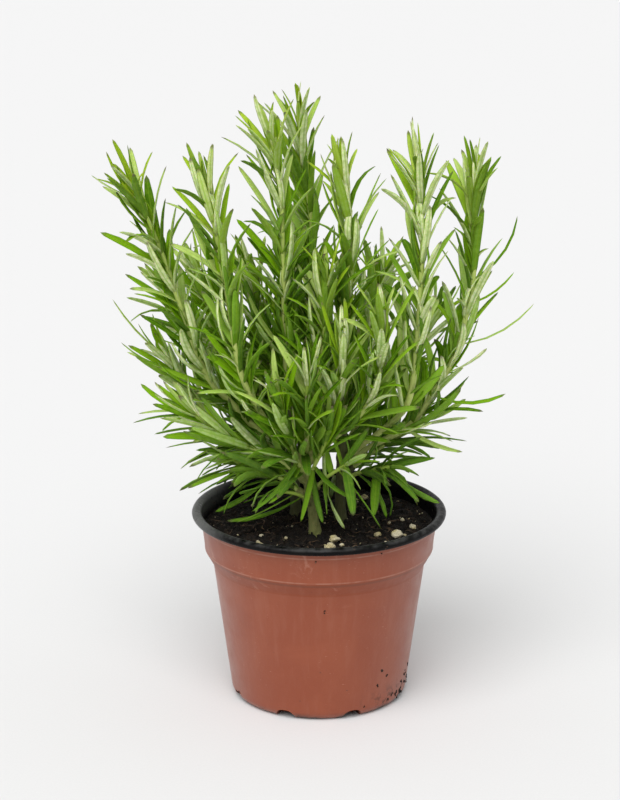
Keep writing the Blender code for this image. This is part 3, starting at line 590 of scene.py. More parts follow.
def make_soil():
    """The body of soil: the lumpy top, and sides and a floor that lie inside the pot."""
    turn = np.arange(SOIL_SIDES) * 2 * math.pi / SOIL_SIDES
    share = np.linspace(1, 0, SOIL_RINGS, endpoint=False) ** SOIL_RING_CROWDING
    ring = np.concatenate([[radius for radius, height in SOIL_WALL], share * SOIL_EDGE])
    x = ring[:, None] * np.cos(turn)
    y = ring[:, None] * np.sin(turn)
    z = soil_height(x, y)
    z[:len(SOIL_WALL)] = np.array([height for radius, height in SOIL_WALL])[:, None]
    points = np.stack([x, y, z], axis=-1).reshape(-1, 3)
    last = len(points) - SOIL_SIDES
    points = np.vstack([points, (0, 0, soil_height(0.0, 0.0)), (0, 0, SOIL_BOTTOM)])
    caps = [(last + step, last + (step + 1) % SOIL_SIDES, len(points) - 2) for step in range(SOIL_SIDES)]
    caps += [((step + 1) % SOIL_SIDES, step, len(points) - 1) for step in range(SOIL_SIDES)]
    soil = mesh_piece("soil_body", points, bands(len(ring), SOIL_SIDES).tolist() + caps, [peat("peat")])
    hand_in(soil, "soil", "soil")


def strewn(reach, count, rng):
    """Places spread evenly over a disc of this radius."""
    radius = reach * np.sqrt(rng.random(count))
    turn = rng.uniform(0, 2 * math.pi, count)
    return radius * np.cos(turn), radius * np.sin(turn)


def make_grains():
    """Loose grains of peat, from fine to the size of a lentil, each a third sunk in the soil."""
    rng = np.random.default_rng(GRAIN_SEED)
    x, y = strewn(GRAIN_REACH, GRAINS, rng)
    size = GRAIN_LEAST + GRAIN_GROWTH * rng.random(GRAINS) ** GRAIN_RARITY
    centres = np.column_stack([x, y, soil_height(x, y) + GRAIN_PROUD * size])
    points, faces = clods(centres, size, rng)[:2]
    grains = peat("peat_grains", GRAIN_BRIGHTNESS)
    hand_in(mesh_piece("soil_grains", points, faces.tolist(), [grains], smooth=False), "soil")


def fibre_material():
    """Fibres and splinters: brown, from dark to pale, with fine dark streaks."""
    paint = Paint("soil_fibre")
    tint = paint.span(paint.noise(130, 2.0), 0.35, 0.65)
    streak = paint.noise(2400, 2.0)
    colour = paint.coated(FIBRE_DARK, (tint, FIBRE_PALE),
                          (paint.span(streak, 0.5, 0.7, 0.0, 0.5), FIBRE_STREAK))
    return paint.finish(Base_Color=colour, Roughness=paint.span(streak, 0.3, 0.7, 0.6, 0.9),
                        Normal=paint.bump(streak, 0.0002))


def make_fibres():
    """Short bent fibres and splinters of bark lying on the soil: each a row of five small diamonds, whose
    heading turns along the fibre."""
    rng = np.random.default_rng(FIBRE_SEED)
    x, y = strewn(FIBRE_REACH, FIBRES, rng)
    heading = rng.uniform(0, 2 * math.pi, FIBRES)
    length = rng.uniform(*FIBRE_LENGTHS, FIBRES)
    thick = rng.uniform(*FIBRE_RADII, FIBRES)
    bend = rng.uniform(-FIBRE_BEND, FIBRE_BEND, FIBRES)
    rows = len(FIBRE_SLIMMING)
    share = np.linspace(-0.5, 0.5, rows)
    way = heading[:, None] + bend[:, None] * share
    x = x[:, None] + length[:, None] * share * np.cos(way)
    y = y[:, None] + length[:, None] * share * np.sin(way)
    inside = np.hypot(x, y).max(axis=1) < FIBRE_EDGE
    x, y, way, thick = x[inside], y[inside], way[inside], thick[inside]
    z = soil_height(x, y)
    z = z.max(axis=1, keepdims=True) * 0.55 + z * 0.45 + thick[:, None]
    slimming = np.array(FIBRE_SLIMMING)[:, None, None]
    wide, tall = np.moveaxis(thick[:, None, None, None] * slimming * np.array(FIBRE_SECTION), 3, 0)
    points = np.stack([x[..., None] - wide * np.sin(way)[..., None],
                       y[..., None] + wide * np.cos(way)[..., None], z[..., None] + tall], axis=-1)
    pattern = np.vstack([bands(rows, 4), (3, 2, 1, 0), (16, 17, 18, 19)])
    faces = pattern[None] + (np.arange(len(x)) * 4 * rows)[:, None, None]
    faces = faces.reshape(-1, 4).tolist()
    hand_in(mesh_piece("soil_fibres", points.reshape(-1, 3), faces, [fibre_material()]), "soil")


make_soil()
make_grains()
make_fibres()


# Pale mineral crumbs lie in the soil, as pot growers mix in for drainage. They are porous and pitted,
# cream to straw coloured, and stained by the peat. The largest stand for the model's own crumbs. A crumb
# is given by its place in X and Y and its radius.
CRUMBS = (
    (7.5, -33.5, 3.0),
    (5.5, -40.5, 2.6),
    (-29.5, -37.0, 2.0),
    (30.0, -22.5, 2.1),
    (39.5, -24.5, 2.9),
    (48.0, -9.5, 2.0),
    (-26.0, 38.0, 2.4),
    (24.0, 36.0, 2.2),
)
CRUMB_SOCKET = 1.6
FIT_GAP = 0.3
SMALL_CRUMBS = (
    (-29.0, -25.0, 1.3), (-17.0, -4.0, 1.2), (47.0, 6.0, 1.2), (57.0, -4.0, 0.9), (-35.0, 23.5, 1.0),
    (-24.0, -13.0, 0.8), (11.5, -37.0, 1.4), (3.0, -36.5, 1.2), (9.5, -29.5, 1.0), (10.5, -41.5, 1.1),
    (-30.5, -32.5, 1.3), (-26.5, -35.5, 0.8), (36.0, -2.0, 1.0), (43.0, 1.0, 1.3), (20.0, -40.0, 0.7),
    (-41.0, -20.0, 0.8), (-8.0, -44.0, 0.6), (33.5, -31.0, 0.7),
)
LOOSE_CRUMBS = 70
LOOSE_CRUMB_REACH = 56.0
LOOSE_CRUMB_LEAST = 0.3
LOOSE_CRUMB_GROWTH = 0.75
SMALL_CRUMB_PROUD = 0.35
CRUMB_SEED = 20
CRUMB_PROUD = 0.5
CRUMB_SHAPE = (1.0, 0.88, 0.74)
CRUMB_WAVES = 9
CRUMB_WAVE_START = 1.6
CRUMB_SWELL = 0.20
CRUMB_SWELL_LIMITS = (0.6, 1.15)
# A wave's phase is drawn up to about one turn
LAST_PHASE = 6.3
CRUMB_CHIPS = 6
CRUMB_CHIP_STARTS = (0.68, 0.9)
CRUMB_CHIP_DEPTH = 0.85
CRUMB_CREAM = (0.62, 0.56, 0.40)
CRUMB_STRAW = (0.50, 0.42, 0.20)
CRUMB_STAIN = (0.15, 0.105, 0.06)
CRUMB_PORE = (0.05, 0.035, 0.022)


def crumb_material():
    """Porous mineral: cream, straw coloured in places, peat in its pits."""
    paint = Paint("crumb_mineral")
    pits = paint.noise(1500, 4.0, 0.7)
    pores = paint.cells(1300)
    colour = paint.coated(
        CRUMB_CREAM, (paint.span(paint.noise(160, 3.0, 0.6), 0.35, 0.65), CRUMB_STRAW),
        (paint.span(pits, 0.52, 0.70, 0.0, 0.8), CRUMB_STAIN),
        (paint.span(pores, 0.22, 0.10, 0.0, 0.85), CRUMB_PORE))
    return paint.finish(Base_Color=colour, Roughness=paint.span(pits, 0.3, 0.7, 0.75, 0.95),
                        Normal=paint.bump(pores, 0.0004, paint.bump(pits, 0.0005)))


def pebble(radius, rng, level):
    """Points and faces of a rounded uneven pebble: a sphere pushed in and out by waves, with flat chips."""
    points, faces = ball(level)
    swell = np.ones(len(points))
    for power in range(CRUMB_WAVES):
        way = rng.normal(size=3)
        wave = np.sin(points @ way * (CRUMB_WAVE_START + power) + rng.uniform(0, LAST_PHASE))
        swell += CRUMB_SWELL / (1 + power) * wave
    points = points * np.clip(swell, *CRUMB_SWELL_LIMITS)[:, None]
    for chip in range(CRUMB_CHIPS):
        way = rng.normal(size=3)
        way /= np.linalg.norm(way)
        over = np.maximum(points @ way - rng.uniform(*CRUMB_CHIP_STARTS), 0)
        points = points - CRUMB_CHIP_DEPTH * over[:, None] * way
    return points * radius * np.array(CRUMB_SHAPE), faces.tolist()


def merged(meshes):
    """The points and faces of several meshes as one mesh."""
    points = []
    faces = []
    for part_points, part_faces in meshes:
        faces += [tuple(len(points) + corner for corner in face) for face in part_faces]
        points += list(part_points)
    return points, faces


def make_crumbs():
    """Each large crumb in its socket, then one piece with all the small ones."""
    rng = np.random.default_rng(CRUMB_SEED)
    material = crumb_material()
    for index, (x, y, radius) in enumerate(CRUMBS):
        points, faces = pebble(radius, rng, 4)
        floor = soil_level(x, y) - CRUMB_SOCKET + FIT_GAP
        points = points + (x, y, floor - points[:, 2].min() + CRUMB_PROUD)
        crumb = mesh_piece(f"crumb_{index + 1:02d}", points, faces, [material])
        hand_in(crumb, "crumb", f"perlite_{index + 1:02d}")
    scattered = list(SMALL_CRUMBS)
    for loose in range(LOOSE_CRUMBS):
        place = strewn(LOOSE_CRUMB_REACH, None, rng)
        scattered.append((*place, LOOSE_CRUMB_LEAST + LOOSE_CRUMB_GROWTH * rng.random() ** 4))
    meshes = []
    for x, y, size in scattered:
        points, faces = pebble(size, rng, 2)
        meshes.append((points + (x, y, soil_height(x, y) + SMALL_CRUMB_PROUD * size), faces))
    hand_in(mesh_piece("crumbs_small", *merged(meshes), [material]), "crumb")


make_crumbs()


# Three short woody trunks come up out of the soil and fork into barked branches. The bark is thin,
# grey-brown and finely split along the wood, and turns olive where the branches go over into the shoots.
# A trunk is given by its name and the points of its middle line.
TRUNKS = (
    ("crown_front", ((-2, -21, 79), (-2, -21, 94), (-5, -20, 116), (-8, -20, 136))),
    ("crown_right", ((11, 2, 79), (11, 2, 94), (11, 1, 120), (12, -3, 144))),
    ("crown_back", ((-12, 10, 79), (-12, 10, 94), (-13, 8, 122), (-15, 5, 144))),
)
TRUNK_FOOT_RADIUS = 2.9
TRUNK_TOP_RADIUS = 2.1
TRUNK_SIDES = 7
BARK_VOXEL = 0.42
# Each shoot: its name, the number of its trunk, the height where it forks off, and the points of its route
SHOOTS = (
    ("shoot_front_short", 0, 134, ((-6, -34, 142), (-6, -43, 154), (-5, -54, 185), (2, -58, 205))),
    ("shoot_left_inner", 0, 126, ((-14, -24, 138), (-25, -32, 153), (-38, -42, 182), (-44, -40, 217),
                                  (-52, -34, 263), (-55, -30, 292))),
    ("shoot_front_right", 0, 128, ((6, -23, 142), (22, -30, 160), (30, -40, 186), (31, -44, 228))),
    ("shoot_middle_left", 2, 144, ((-16, -1, 165), (-17, -8, 192), (-18, -11, 230), (-19, -9, 265),
                                   (-26, -4, 303), (-27, -2, 311))),
    ("shoot_middle_tall", 2, 137, ((-9, 9, 153), (-5, 14, 189), (-4, 22, 243), (-10, 26, 288),
                                   (-2, 26, 313))),
    ("shoot_middle_right", 1, 144, ((13, -7, 162), (13, -10, 189), (16, -11, 232), (13, -7, 275),
                                    (12, -6, 293))),
    ("shoot_right_inner", 1, 122, ((20, -5, 133), (30, -12, 143), (44, -26, 163), (48, -32, 197),
                                   (50, -30, 245), (49, -22, 280), (53, -18, 299))),
    ("shoot_right_outer", 1, 120, ((24, 2, 130), (46, 4, 142), (57, 5, 157), (69, 8, 179), (78, 14, 216),
                                   (78, 20, 254), (82, 24, 285))),
    ("shoot_left_outer", 2, 120, ((-28, 3, 136), (-43, -2, 154), (-57, -8, 173), (-70, -14, 213),
                                  (-78, -18, 239), (-97, -24, 289))),
    ("shoot_front_middle", 0, 136, ((-4, -19, 152), (0, -20, 175), (3, -22, 205), (6, -26, 244))),
    ("shoot_front_left", 0, 121, ((-12, -34, 138), (-17, -48, 162), (-22, -56, 193))),
    ("shoot_left_low", 0, 118, ((-20, -22, 132), (-44, -26, 144), (-64, -32, 160), (-77, -36, 171))),
    ("shoot_left_lowest", 0, 110, ((-20, -18, 121), (-40, -18, 129), (-63, -17, 135))),
    ("shoot_front_left_low", 0, 108, ((-12, -31, 117), (-34, -50, 126))),
    ("shoot_front_low", 0, 118, ((-3, -28, 129), (3, -37, 146), (8, -45, 171))),
    ("shoot_front_right_low", 0, 113, ((4, -29, 125), (14, -36, 134), (28, -48, 147))),
    ("shoot_right_low", 1, 113, ((22, -5, 120), (38, -14, 126), (56, -19, 131))),
    ("shoot_left_behind", 2, 128, ((-24, 12, 146), (-42, 16, 170), (-60, 22, 212), (-65, 25, 235))),
    ("shoot_left_middle", 2, 113, ((-32, 8, 128), (-56, 6, 146), (-75, 7, 175), (-85, 8, 194))),
    ("shoot_left_back", 2, 124, ((-24, 20, 141), (-50, 33, 166), (-76, 43, 198), (-88, 47, 216))),
    ("shoot_behind_left", 2, 140, ((-22, 11, 162), (-30, 17, 195), (-38, 20, 236))),
    ("shoot_back_tall", 2, 132, ((-14, 20, 152), (-13, 38, 190), (-10, 54, 256))),
    ("shoot_right_low_back", 1, 115, ((28, 10, 126), (52, 18, 138), (76, 26, 150))),
    ("shoot_right_back", 1, 127, ((22, 12, 144), (44, 29, 168), (58, 38, 186), (71, 44, 206))),
    ("shoot_behind_right", 1, 135, ((16, 8, 154), (26, 28, 187), (38, 47, 230))),
    ("shoot_back_right", 1, 110, ((17, 20, 124), (32, 40, 146), (46, 55, 176))),
    ("shoot_back_left", 2, 117, ((-20, 26, 130), (-34, 43, 152), (-48, 58, 186))),
    ("shoot_back_middle", 2, 110, ((-9, 28, 123), (-2, 47, 146), (4, 58, 180))),
    ("shoot_left_low_back", 2, 106, ((-32, 24, 120), (-58, 36, 134), (-82, 44, 152))),
    ("shoot_middle_low", 0, 131, ((1, -24, 144), (8, -32, 160), (12, -38, 190), (13, -40, 215))),
)
# The points give each shoot with the leaves of its tip, which reach this far past the stem
TIP_REACH = 21.0
STEM_FOOT_RADIUS = 1.6
STEM_TIP_RADIUS = 0.9
STEM_TAPER = 120.0
STEM_SIDES = 4
STEM_RING_STEP = 16.0
TRUNK_RING_STEP = 9.0
BARK_RING_STEP = 5.0
BARK_RADIUS = 1.8
BARK_SIDES = 5
BARK_SHORTEST = 9.0
BARK_LONGEST = 45.0
WOOD_CLEAR = 1.2
ROUTE_STEP = 1.0
ROUTE_FINENESS = 40
FRAME_START = (0.31, 0.95, 0.05)
FOOT_FLARE = 0.38
FOOT_HEIGHT = 91.0
FOOT_REACH = 4.5
FINE_STEP = 1.2
FINE_TRUNK_SIDES = 20
FINE_BRANCH_SIDES = 14
BRANCH_SWELL = 1.14
BRANCH_TAPER = 0.16
BARK_SOFTENING = 4
KNOT_SEED = 40
KNOT_WAVES = 14
KNOT_STRETCH = (1.0, 1.0, 0.22)
KNOT_WAVE_RANGE = (1.0, 3.4)
KNOT_HEIGHT = 0.055
KNOT_SWAY = 0.8
KNOT_SWAY_RISE = 0.6
# The grooves of the bark: how deep and sharp, how close to each other in X and Y, and how they sway
GROOVE_DEPTH = 0.12
GROOVE_SHARPNESS = 6
GROOVE_X = 1.9
GROOVE_Y = 1.7
GROOVE_SWAY = 0.9
GROOVE_SWAY_RISE = 0.35
BARK_DARK = (0.050, 0.045, 0.012)
BARK_PALE = (0.125, 0.112, 0.036)
BARK_SPLIT = (0.030, 0.018, 0.010)
BARK_FLAKE = (0.230, 0.140, 0.055)
BARK_OLIVE = (0.300, 0.340, 0.090)
BARK_SHADED = (0.034, 0.036, 0.010)


def unit(vector):
    """The vector at length one."""
    return vector / np.linalg.norm(vector)


def route_lengths(route):
    """The distance along the route at each of its points."""
    return np.concatenate(([0], np.cumsum(np.linalg.norm(np.diff(route, axis=0), axis=1))))


def stretch(route, places):
    """The points of a route at these distances along it."""
    lengths = route_lengths(route)
    return np.column_stack([np.interp(places, lengths, route[:, axis]) for axis in range(3)])


def smooth_route(points, step=ROUTE_STEP):
    """A curve through the points, as places an equal step apart along it. Between two points it is a cubic
    in the share of the way, whose slope at each point is half the step between that point's neighbours."""
    nodes = np.array(points, float)
    ends = np.vstack((2 * nodes[0] - nodes[1], nodes, 2 * nodes[-1] - nodes[-2]))
    fine = []
    share = np.linspace(0, 1, ROUTE_FINENESS, endpoint=False)[:, None]
    for before, start, stop, after in zip(ends, ends[1:], ends[2:], ends[3:]):
        fine.append(0.5 * (2 * start + (stop - before) * share
                           + (2 * before - 5 * start + 4 * stop - after) * share**2
                           + (3 * start - before - 3 * stop + after) * share**3))
    fine = np.vstack(fine + [nodes[-1:]])
    length = route_lengths(fine)[-1]
    return stretch(fine, np.linspace(0, length, max(2, int(round(length / step)) + 1)))


def route_frames(route):
    """The tangent and two sideways directions at each point, carried along the route without twist."""
    tangents = np.gradient(route, axis=0)
    tangents /= np.linalg.norm(tangents, axis=1)[:, None]
    side = unit(np.cross(tangents[0], FRAME_START))
    sides = []
    for tangent in tangents:
        side = unit(side - tangent * np.dot(side, tangent))
        sides.append(side)
    sides = np.array(sides)
    return tangents, sides, np.cross(tangents, sides)


def tube(route, radii, sides, spin=0.0):
    """Points and faces of a closed tube along the route. A flat side has its middle at the spin angle."""
    left, front = route_frames(route)[1:]
    turn = (np.arange(sides) + 0.5) * 2 * math.pi / sides + spin
    rings = (route[:, None]
             + radii[:, None, None] * (np.cos(turn)[None, :, None] * left[:, None]
                                       + np.sin(turn)[None, :, None] * front[:, None]))
    last = (len(route) - 1) * sides
    faces = [range(sides - 1, -1, -1), *bands(len(route), sides).tolist(), range(last, last + sides)]
    return rings.reshape(-1, 3), faces


def crown_shoots(crown):
    """The numbers of the shoots that grow from this crown."""
    return [index for index, shoot in enumerate(SHOOTS) if shoot[1] == crown]


class Plant:
    """The routes of all stems and the bark lengths, the same as in the model."""

    def __init__(self):
        self.trunks = [smooth_route(points) for name, points in TRUNKS]
        self.routes = []
        for name, crown, fork, points in SHOOTS:
            route = smooth_route((self.trunk_place(crown, fork), *points))
            self.routes.append(route[:len(route) - int(TIP_REACH / ROUTE_STEP)])
        self.bark = [self.bark_length(index) for index in range(len(SHOOTS))]

    def trunk_place(self, crown, height):
        """The point of the trunk's middle line at this height."""
        route = self.trunks[crown]
        return tuple(np.interp(height, route[:, 2], route[:, axis]) for axis in range(3))

    def bark_length(self, index):
        """How far bark runs up a branch: until the branch stands clear of its trunk and its neighbours."""
        crown = SHOOTS[index][1]
        route = self.routes[index]
        others = [self.trunks[crown]]
        others += [self.routes[other] for other in crown_shoots(crown) if other != index]
        needed = np.full(len(route), np.inf)
        for number, other in enumerate(others):
            thick = TRUNK_FOOT_RADIUS if number == 0 else STEM_FOOT_RADIUS
            gap = np.linalg.norm(route[:, None] - other[None], axis=2).min(axis=1)
            needed = np.minimum(needed, gap - thick - STEM_FOOT_RADIUS)
        lengths = route_lengths(route)
        blocked = np.where((needed < WOOD_CLEAR) & (lengths < BARK_LONGEST))[0]
        return max(BARK_SHORTEST, lengths[blocked[-1]] + ROUTE_STEP if len(blocked) else 0)

    def stem(self, index):
        """The leafy part of a shoot's route, which starts a fit gap past the bark."""
        route = self.routes[index]
        length = route_lengths(route)[-1]
        start = self.bark[index] + FIT_GAP
        count = max(3, int(round((length - start) / ROUTE_STEP)))
        return stretch(route, np.linspace(start, length, count))

    def branch(self, index):
        """The barked part of a shoot's route."""
        count = max(3, int(round(self.bark[index] / BARK_RING_STEP)))
        return stretch(self.routes[index], np.linspace(0, self.bark[index], count))


def crown_meshes(plant, crown):
    """The tubes of a crown: its trunk, then the barked foot of each of its branches."""
    trunk = smooth_route(TRUNKS[crown][1], TRUNK_RING_STEP)
    meshes = [tube(trunk, np.linspace(TRUNK_FOOT_RADIUS, TRUNK_TOP_RADIUS, len(trunk)), TRUNK_SIDES)]
    for index in crown_shoots(crown):
        route = plant.branch(index)
        meshes.append(tube(route, np.full(len(route), BARK_RADIUS), BARK_SIDES))
    return meshes


def bark_material():
    """Thin bark: grey-brown with dark splits along the wood, flaking to orange-brown, olive further up and
    darker behind, in the shade of the bush."""
    paint = Paint("stem_bark")
    x, y, z = paint.axes()
    grain = paint.noise(1500, 5.0, 0.7, 0.4, at=paint.place((1, 1, 0.16)))
    plates = paint.noise(420, 4.0, 0.65, 0.8, at=paint.place((1, 1, 0.3)))
    green = paint.times(paint.span(z, 0.104, 0.134, 0.42, 1.0),
                        paint.span(paint.noise(180), 0.25, 0.50, 0.6, 1.0))
    colour = paint.coated(
        BARK_DARK,
        (paint.span(plates, 0.36, 0.66), BARK_PALE),
        (paint.span(grain, 0.52, 0.72, 0.0, 0.8), BARK_SPLIT),
        (paint.span(paint.noise(700, 3.0, 0.6), 0.60, 0.68, 0.0, 0.6), BARK_FLAKE),
        (green, BARK_OLIVE),
        (paint.span(y, -0.022, -0.006, 0.0, 0.75), BARK_SHADED))
    return paint.finish(Base_Color=colour, Roughness=paint.span(grain, 0.3, 0.7, 0.62, 0.9),
                        Normal=paint.bump(grain, 0.0005, paint.bump(plates, 0.0007)))


def make_crown(plant, crown, material):
    """A trunk with a flared foot and its branches, grown into one body by a fine voxel remesh. Each point
    is then pushed along its normal by waves that run round the wood, which makes knots and splits."""
    name, points = TRUNKS[crown]
    trunk = smooth_route(points, FINE_STEP)
    share = np.linspace(0, 1, len(trunk))
    flare = 1 + FOOT_FLARE * np.exp(-(((trunk[:, 2] - FOOT_HEIGHT) / FOOT_REACH) ** 2))
    radii = (TRUNK_FOOT_RADIUS + (TRUNK_TOP_RADIUS - TRUNK_FOOT_RADIUS) * share) * flare
    meshes = [tube(trunk, radii, FINE_TRUNK_SIDES)]
    for index in crown_shoots(crown):
        places = np.linspace(0, plant.bark[index], max(4, int(plant.bark[index] / FINE_STEP)))
        thick = BARK_RADIUS * (BRANCH_SWELL - BRANCH_TAPER * places / places[-1])
        meshes.append(tube(stretch(plant.routes[index], places), thick, FINE_BRANCH_SIDES))
    piece = mesh_piece(f"{name}_bark", *merged(meshes), [material])
    grow = piece.modifiers.new("grow together", "REMESH")
    grow.mode = "VOXEL"
    grow.voxel_size = BARK_VOXEL * MM
    grow.use_smooth_shade = True
    soften = piece.modifiers.new("soften", "SMOOTH")
    soften.factor = 0.5
    soften.iterations = BARK_SOFTENING
    applied(piece)
    mesh = piece.data
    place = read_rows(mesh.vertices, "co") / MM
    x, y, z = place.T
    rng = np.random.default_rng(KNOT_SEED + crown)
    push = np.zeros(len(place))
    for wave in range(KNOT_WAVES):
        way = rng.normal(size=3) * KNOT_STRETCH
        way *= rng.uniform(*KNOT_WAVE_RANGE) / np.linalg.norm(way)
        sway = KNOT_SWAY * np.sin(KNOT_SWAY_RISE * z + wave)
        push += KNOT_HEIGHT * np.sin(place @ way + rng.uniform(0, LAST_PHASE) + sway)
    groove = np.sin(GROOVE_X * x + GROOVE_Y * y + GROOVE_SWAY * np.sin(GROOVE_SWAY_RISE * z))
    push -= GROOVE_DEPTH * np.abs(groove) ** GROOVE_SHARPNESS
    pushed = place + push[:, None] * read_rows(mesh.vertex_normals, "vector")
    mesh.vertices.foreach_set("co", (pushed * MM).ravel())
    mesh.shade_smooth()
    mesh.update()
    if not mesh.materials:
        mesh.materials.append(material)
    hand_in(piece, "bark", name)


plant = Plant()
bark = bark_material()
for crown in range(len(TRUNKS)):
    make_crown(plant, crown, bark)


# The shoots: green square stems, with the needle leaves in crossed pairs. A leaf is leathery, with a
# groove along its glossy top, edges rolled under and a pale felted underside with a thick midrib.
# The model's own leaves are made again finer, and the pairs and the short tufts between them are added.
SEED = 20
POT_HEIGHT = 99.5
LEAF_LENGTH = 36.0
LEAF_WIDTH = 4.4
YOUNG_LENGTH = 0.66
YOUNG_WIDTH = 0.62
YOUNG_ZONE = 18.0
LEAF_TOP = 0.3
LEAF_KEEL = 0.8
LEAF_ROOT_HALF = 0.5
LEAF_ROOT_TOP = 0.25
LEAF_ROOT_KEEL = 0.35
LEAF_ROOT_OUT = 0.2
LEAF_MIDDLE = (0.45,)
CURLED_LEAF_MIDDLE = (0.32, 0.68)
CURLED_LEAF_TURN = 47.0
STRAIGHT_TURN = 0.001

# How the leaves stand off the stem, in degrees: steep at the shoot's tip, wider spread on old wood, and
# hanging where the root is low over the soil
SPREAD = 24.0
SPREAD_YOUNG = -11.0
SPREAD_OLD = 15.0
SPREAD_HANGING = 18.0
SPREAD_WANDER = 8.0
# Every leaf leans a little to the left, where the light comes from
LIGHT_LEAN = (-0.12, 0.0, 0.0)
YOUNG_REACH = 10.0
OLD_START = 50.0
OLD_REACH = 90.0
HANGING_TOP = 142.0
HANGING_REACH = 40.0
CURVE_LEAST = 8.0
CURVE_MOST = 33.0
CURVE_OLD = 14.0
BEND_OUTWARD = -0.9
BEND_INWARD = 0.4
RISE_YOUNG = 0.06
RISE_OLD = 0.55
DROOP = 1.3
LENGTH_SPREAD = (0.86, 1.14)
WIDTH_SPREAD = (0.85, 1.10)

# How far apart the leaf pairs are along the stem, and how a leaf is moved that would touch another shoot
PAIR_PITCH = 11.2
PAIR_PITCH_TIP = 5.5
PAIR_ZONE = 24.0
FIRST_PAIR = 1.5
BARE_FOOT = 7.0
# Shoots that are bare further up from the fork
BARE_FEET = {"shoot_left_inner": 30.0, "shoot_right_inner": 26.0, "shoot_right_outer": 20.0,
             "shoot_front_right": 12.0, "shoot_front_left_low": 14.0, "shoot_front_right_low": 15.0,
             "shoot_front_low": 10.0}
# Shoots whose leaves stand this many degrees closer to the stem
TIGHT_SHOOTS = {"shoot_right_outer": 9.0}
GOLDEN_SHARE = 0.618
PLACE_TRIES = 20
AIM_WANDER = 0.12
AIM_WANDER_STEP = 0.06
SHORTEN_STEP = 0.015
LEAF_CLEAR = 0.6
SOIL_CLEAR = 2.5
LIP_CLEAR = 1.2
LIP_CLEAR_INSIDE = 54.0
LIP_CLEAR_OUTSIDE = 68.4
CLEAR_SHARES = (0.25, 0.5, 0.75, 1.0)

# Leaves that the outline is known by: shoot, height of the root on its stem, the leaf's tip, its turn in
# degrees and its width
KNOWN_LEAVES = (
    ("shoot_left_outer", 264, (-110, -29, 278), 20, 3.8),
    ("shoot_left_middle", 184, (-104, 2, 209), 25, 3.6),
    ("shoot_left_middle", 170, (-100, 0, 187), 35, 3.6),
    ("shoot_left_low", 160, (-94, -12, 148), -20, 4.2),
    ("shoot_left_low", 157, (-89, -20, 171), 30, 3.6),
    ("shoot_left_lowest", 128, (-71, -12, 112), -25, 4.4),
    ("shoot_left_lowest", 123, (-53, -13, 101), 24, 3.4),
    ("shoot_right_outer", 217, (100, 20, 248), 62, 2.8),
    ("shoot_right_outer", 204, (99, 19, 219), 42, 3.2),
    ("shoot_right_outer", 184, (110, 22, 202), 50, 2.8),
    ("shoot_right_outer", 158, (95, 4, 159), 56, 3.4),
    ("shoot_right_outer", 169, (85, 4, 183), 30, 3.6),
    ("shoot_right_outer", 141, (73, -6, 131), 32, 5.4),
    ("shoot_right_low", 125, (61, -22, 109), 34, 3.4),
    ("shoot_front_right_low", 133, (17, -48, 111), -20, 5.2),
    ("shoot_front_right_low", 130, (31, -42, 102), -14, 3.2),
    ("shoot_front_left", 134, (-33, -44, 112), 34, 5.4),
    ("shoot_front_low", 129, (-9, -42, 106), 12, 3.8),
    ("shoot_front_left_low", 117, (-42, -24, 99), 12, 3.0),
)

# Where the bush is full of added leaves: inside this radius and under this height, less so low down and in
# front, and on stems that stand upright and high
INSIDE_RADIUS = 58
INSIDE_FADE = 18
INSIDE_TOP = 250
INSIDE_TOP_FADE = 40
INSIDE_LOW = 100
INSIDE_LOW_FRONT = 122
INSIDE_LOW_FADE = 22
FRONT_SIDE = -24
FRONT_HALF = -14
LEAST_FRONT = 0.25
LEAST_BEHIND = 0.75
FLAT_STEM = 0.25
LEAST_FLAT = 0.3
LOW_STEM = 110
LOW_STEM_FADE = 60
LEAST_LOW = 0.2
# The added leaves: how near the tip and the foot of a shoot they stand, how far apart, and how much they
# wander, curl, shrink and keep clear. Past the thin side, on the right, the bush keeps its sparse outline.
FILL_START = 4.0
FILL_END = 5.0
FILL_SHARE = 0.6
FILL_SHARE_INSIDE = 0.6
FILL_INSIDE = 0.9
FILL_TURN = 1.1
FILL_TRIES = 8
FILL_WANDER = 0.35
FILL_WANDER_STEP = 0.08
FILL_CURL = (0.8, 2.8)
FILL_SHORTEN = 0.03
FILL_LENGTHS = (0.8, 1.05)
FILL_WIDTHS = (0.8, 1.1)
FILL_CLEAR = 0.15
THIN_SIDE = 89.0
# Short tufts in the axils, which start this far from the tip
TUFT_LEAVES = 3
TUFT_START = 30
TUFT_SHARE = 0.30
TUFT_WANDER = 0.5
TUFT_FROM_TIP = 6.0
TUFT_LENGTHS = (0.4, 0.8)
TUFT_STEP = 1.2
# Further from the tip than this, no added leaf points straight to the front
OPEN_FRONT_START = 40
OPEN_FRONT = -0.75
# As how far from the tip the leaves of the two lists are coloured
KNOWN_FROM_TIP = 60.0
HANGING_FROM_TIP = 80.0

# More leaves that hang over the soil at the front: shoot, height of the root, the leaf's tip, its turn
# and its width. The model's pieces leave them out.
HANGING_LEAVES = (
    ("shoot_middle_low", 146, (7, -27, 124), 14, 4.6),
    ("shoot_middle_low", 151, (12, -30, 128), -18, 4.0),
    ("shoot_middle_low", 148, (5, -26, 114), 24, 4.4),
    ("shoot_front_low", 131, (20, -44, 118), 50, 5.0),
    ("shoot_right_low", 123, (27, -38, 108), 36, 5.2),
    ("shoot_front_left_low", 114, (-47, -18, 98), 34, 3.2),
    ("shoot_front_right_low", 124, (4, -38, 108), 30, 3.2),
    ("shoot_front_low", 128, (2, -36, 103), 26, 3.2),
    ("shoot_front_left", 131, (-25, -44, 116), 40, 4.4),
    ("shoot_front_right_low", 124, (13, -36, 100), 38, 3.0),
    ("shoot_left_lowest", 122, (-40, -33, 118), 36, 4.6),
    ("shoot_left_lowest", 127, (-66, -26, 118), -20, 4.0),
)


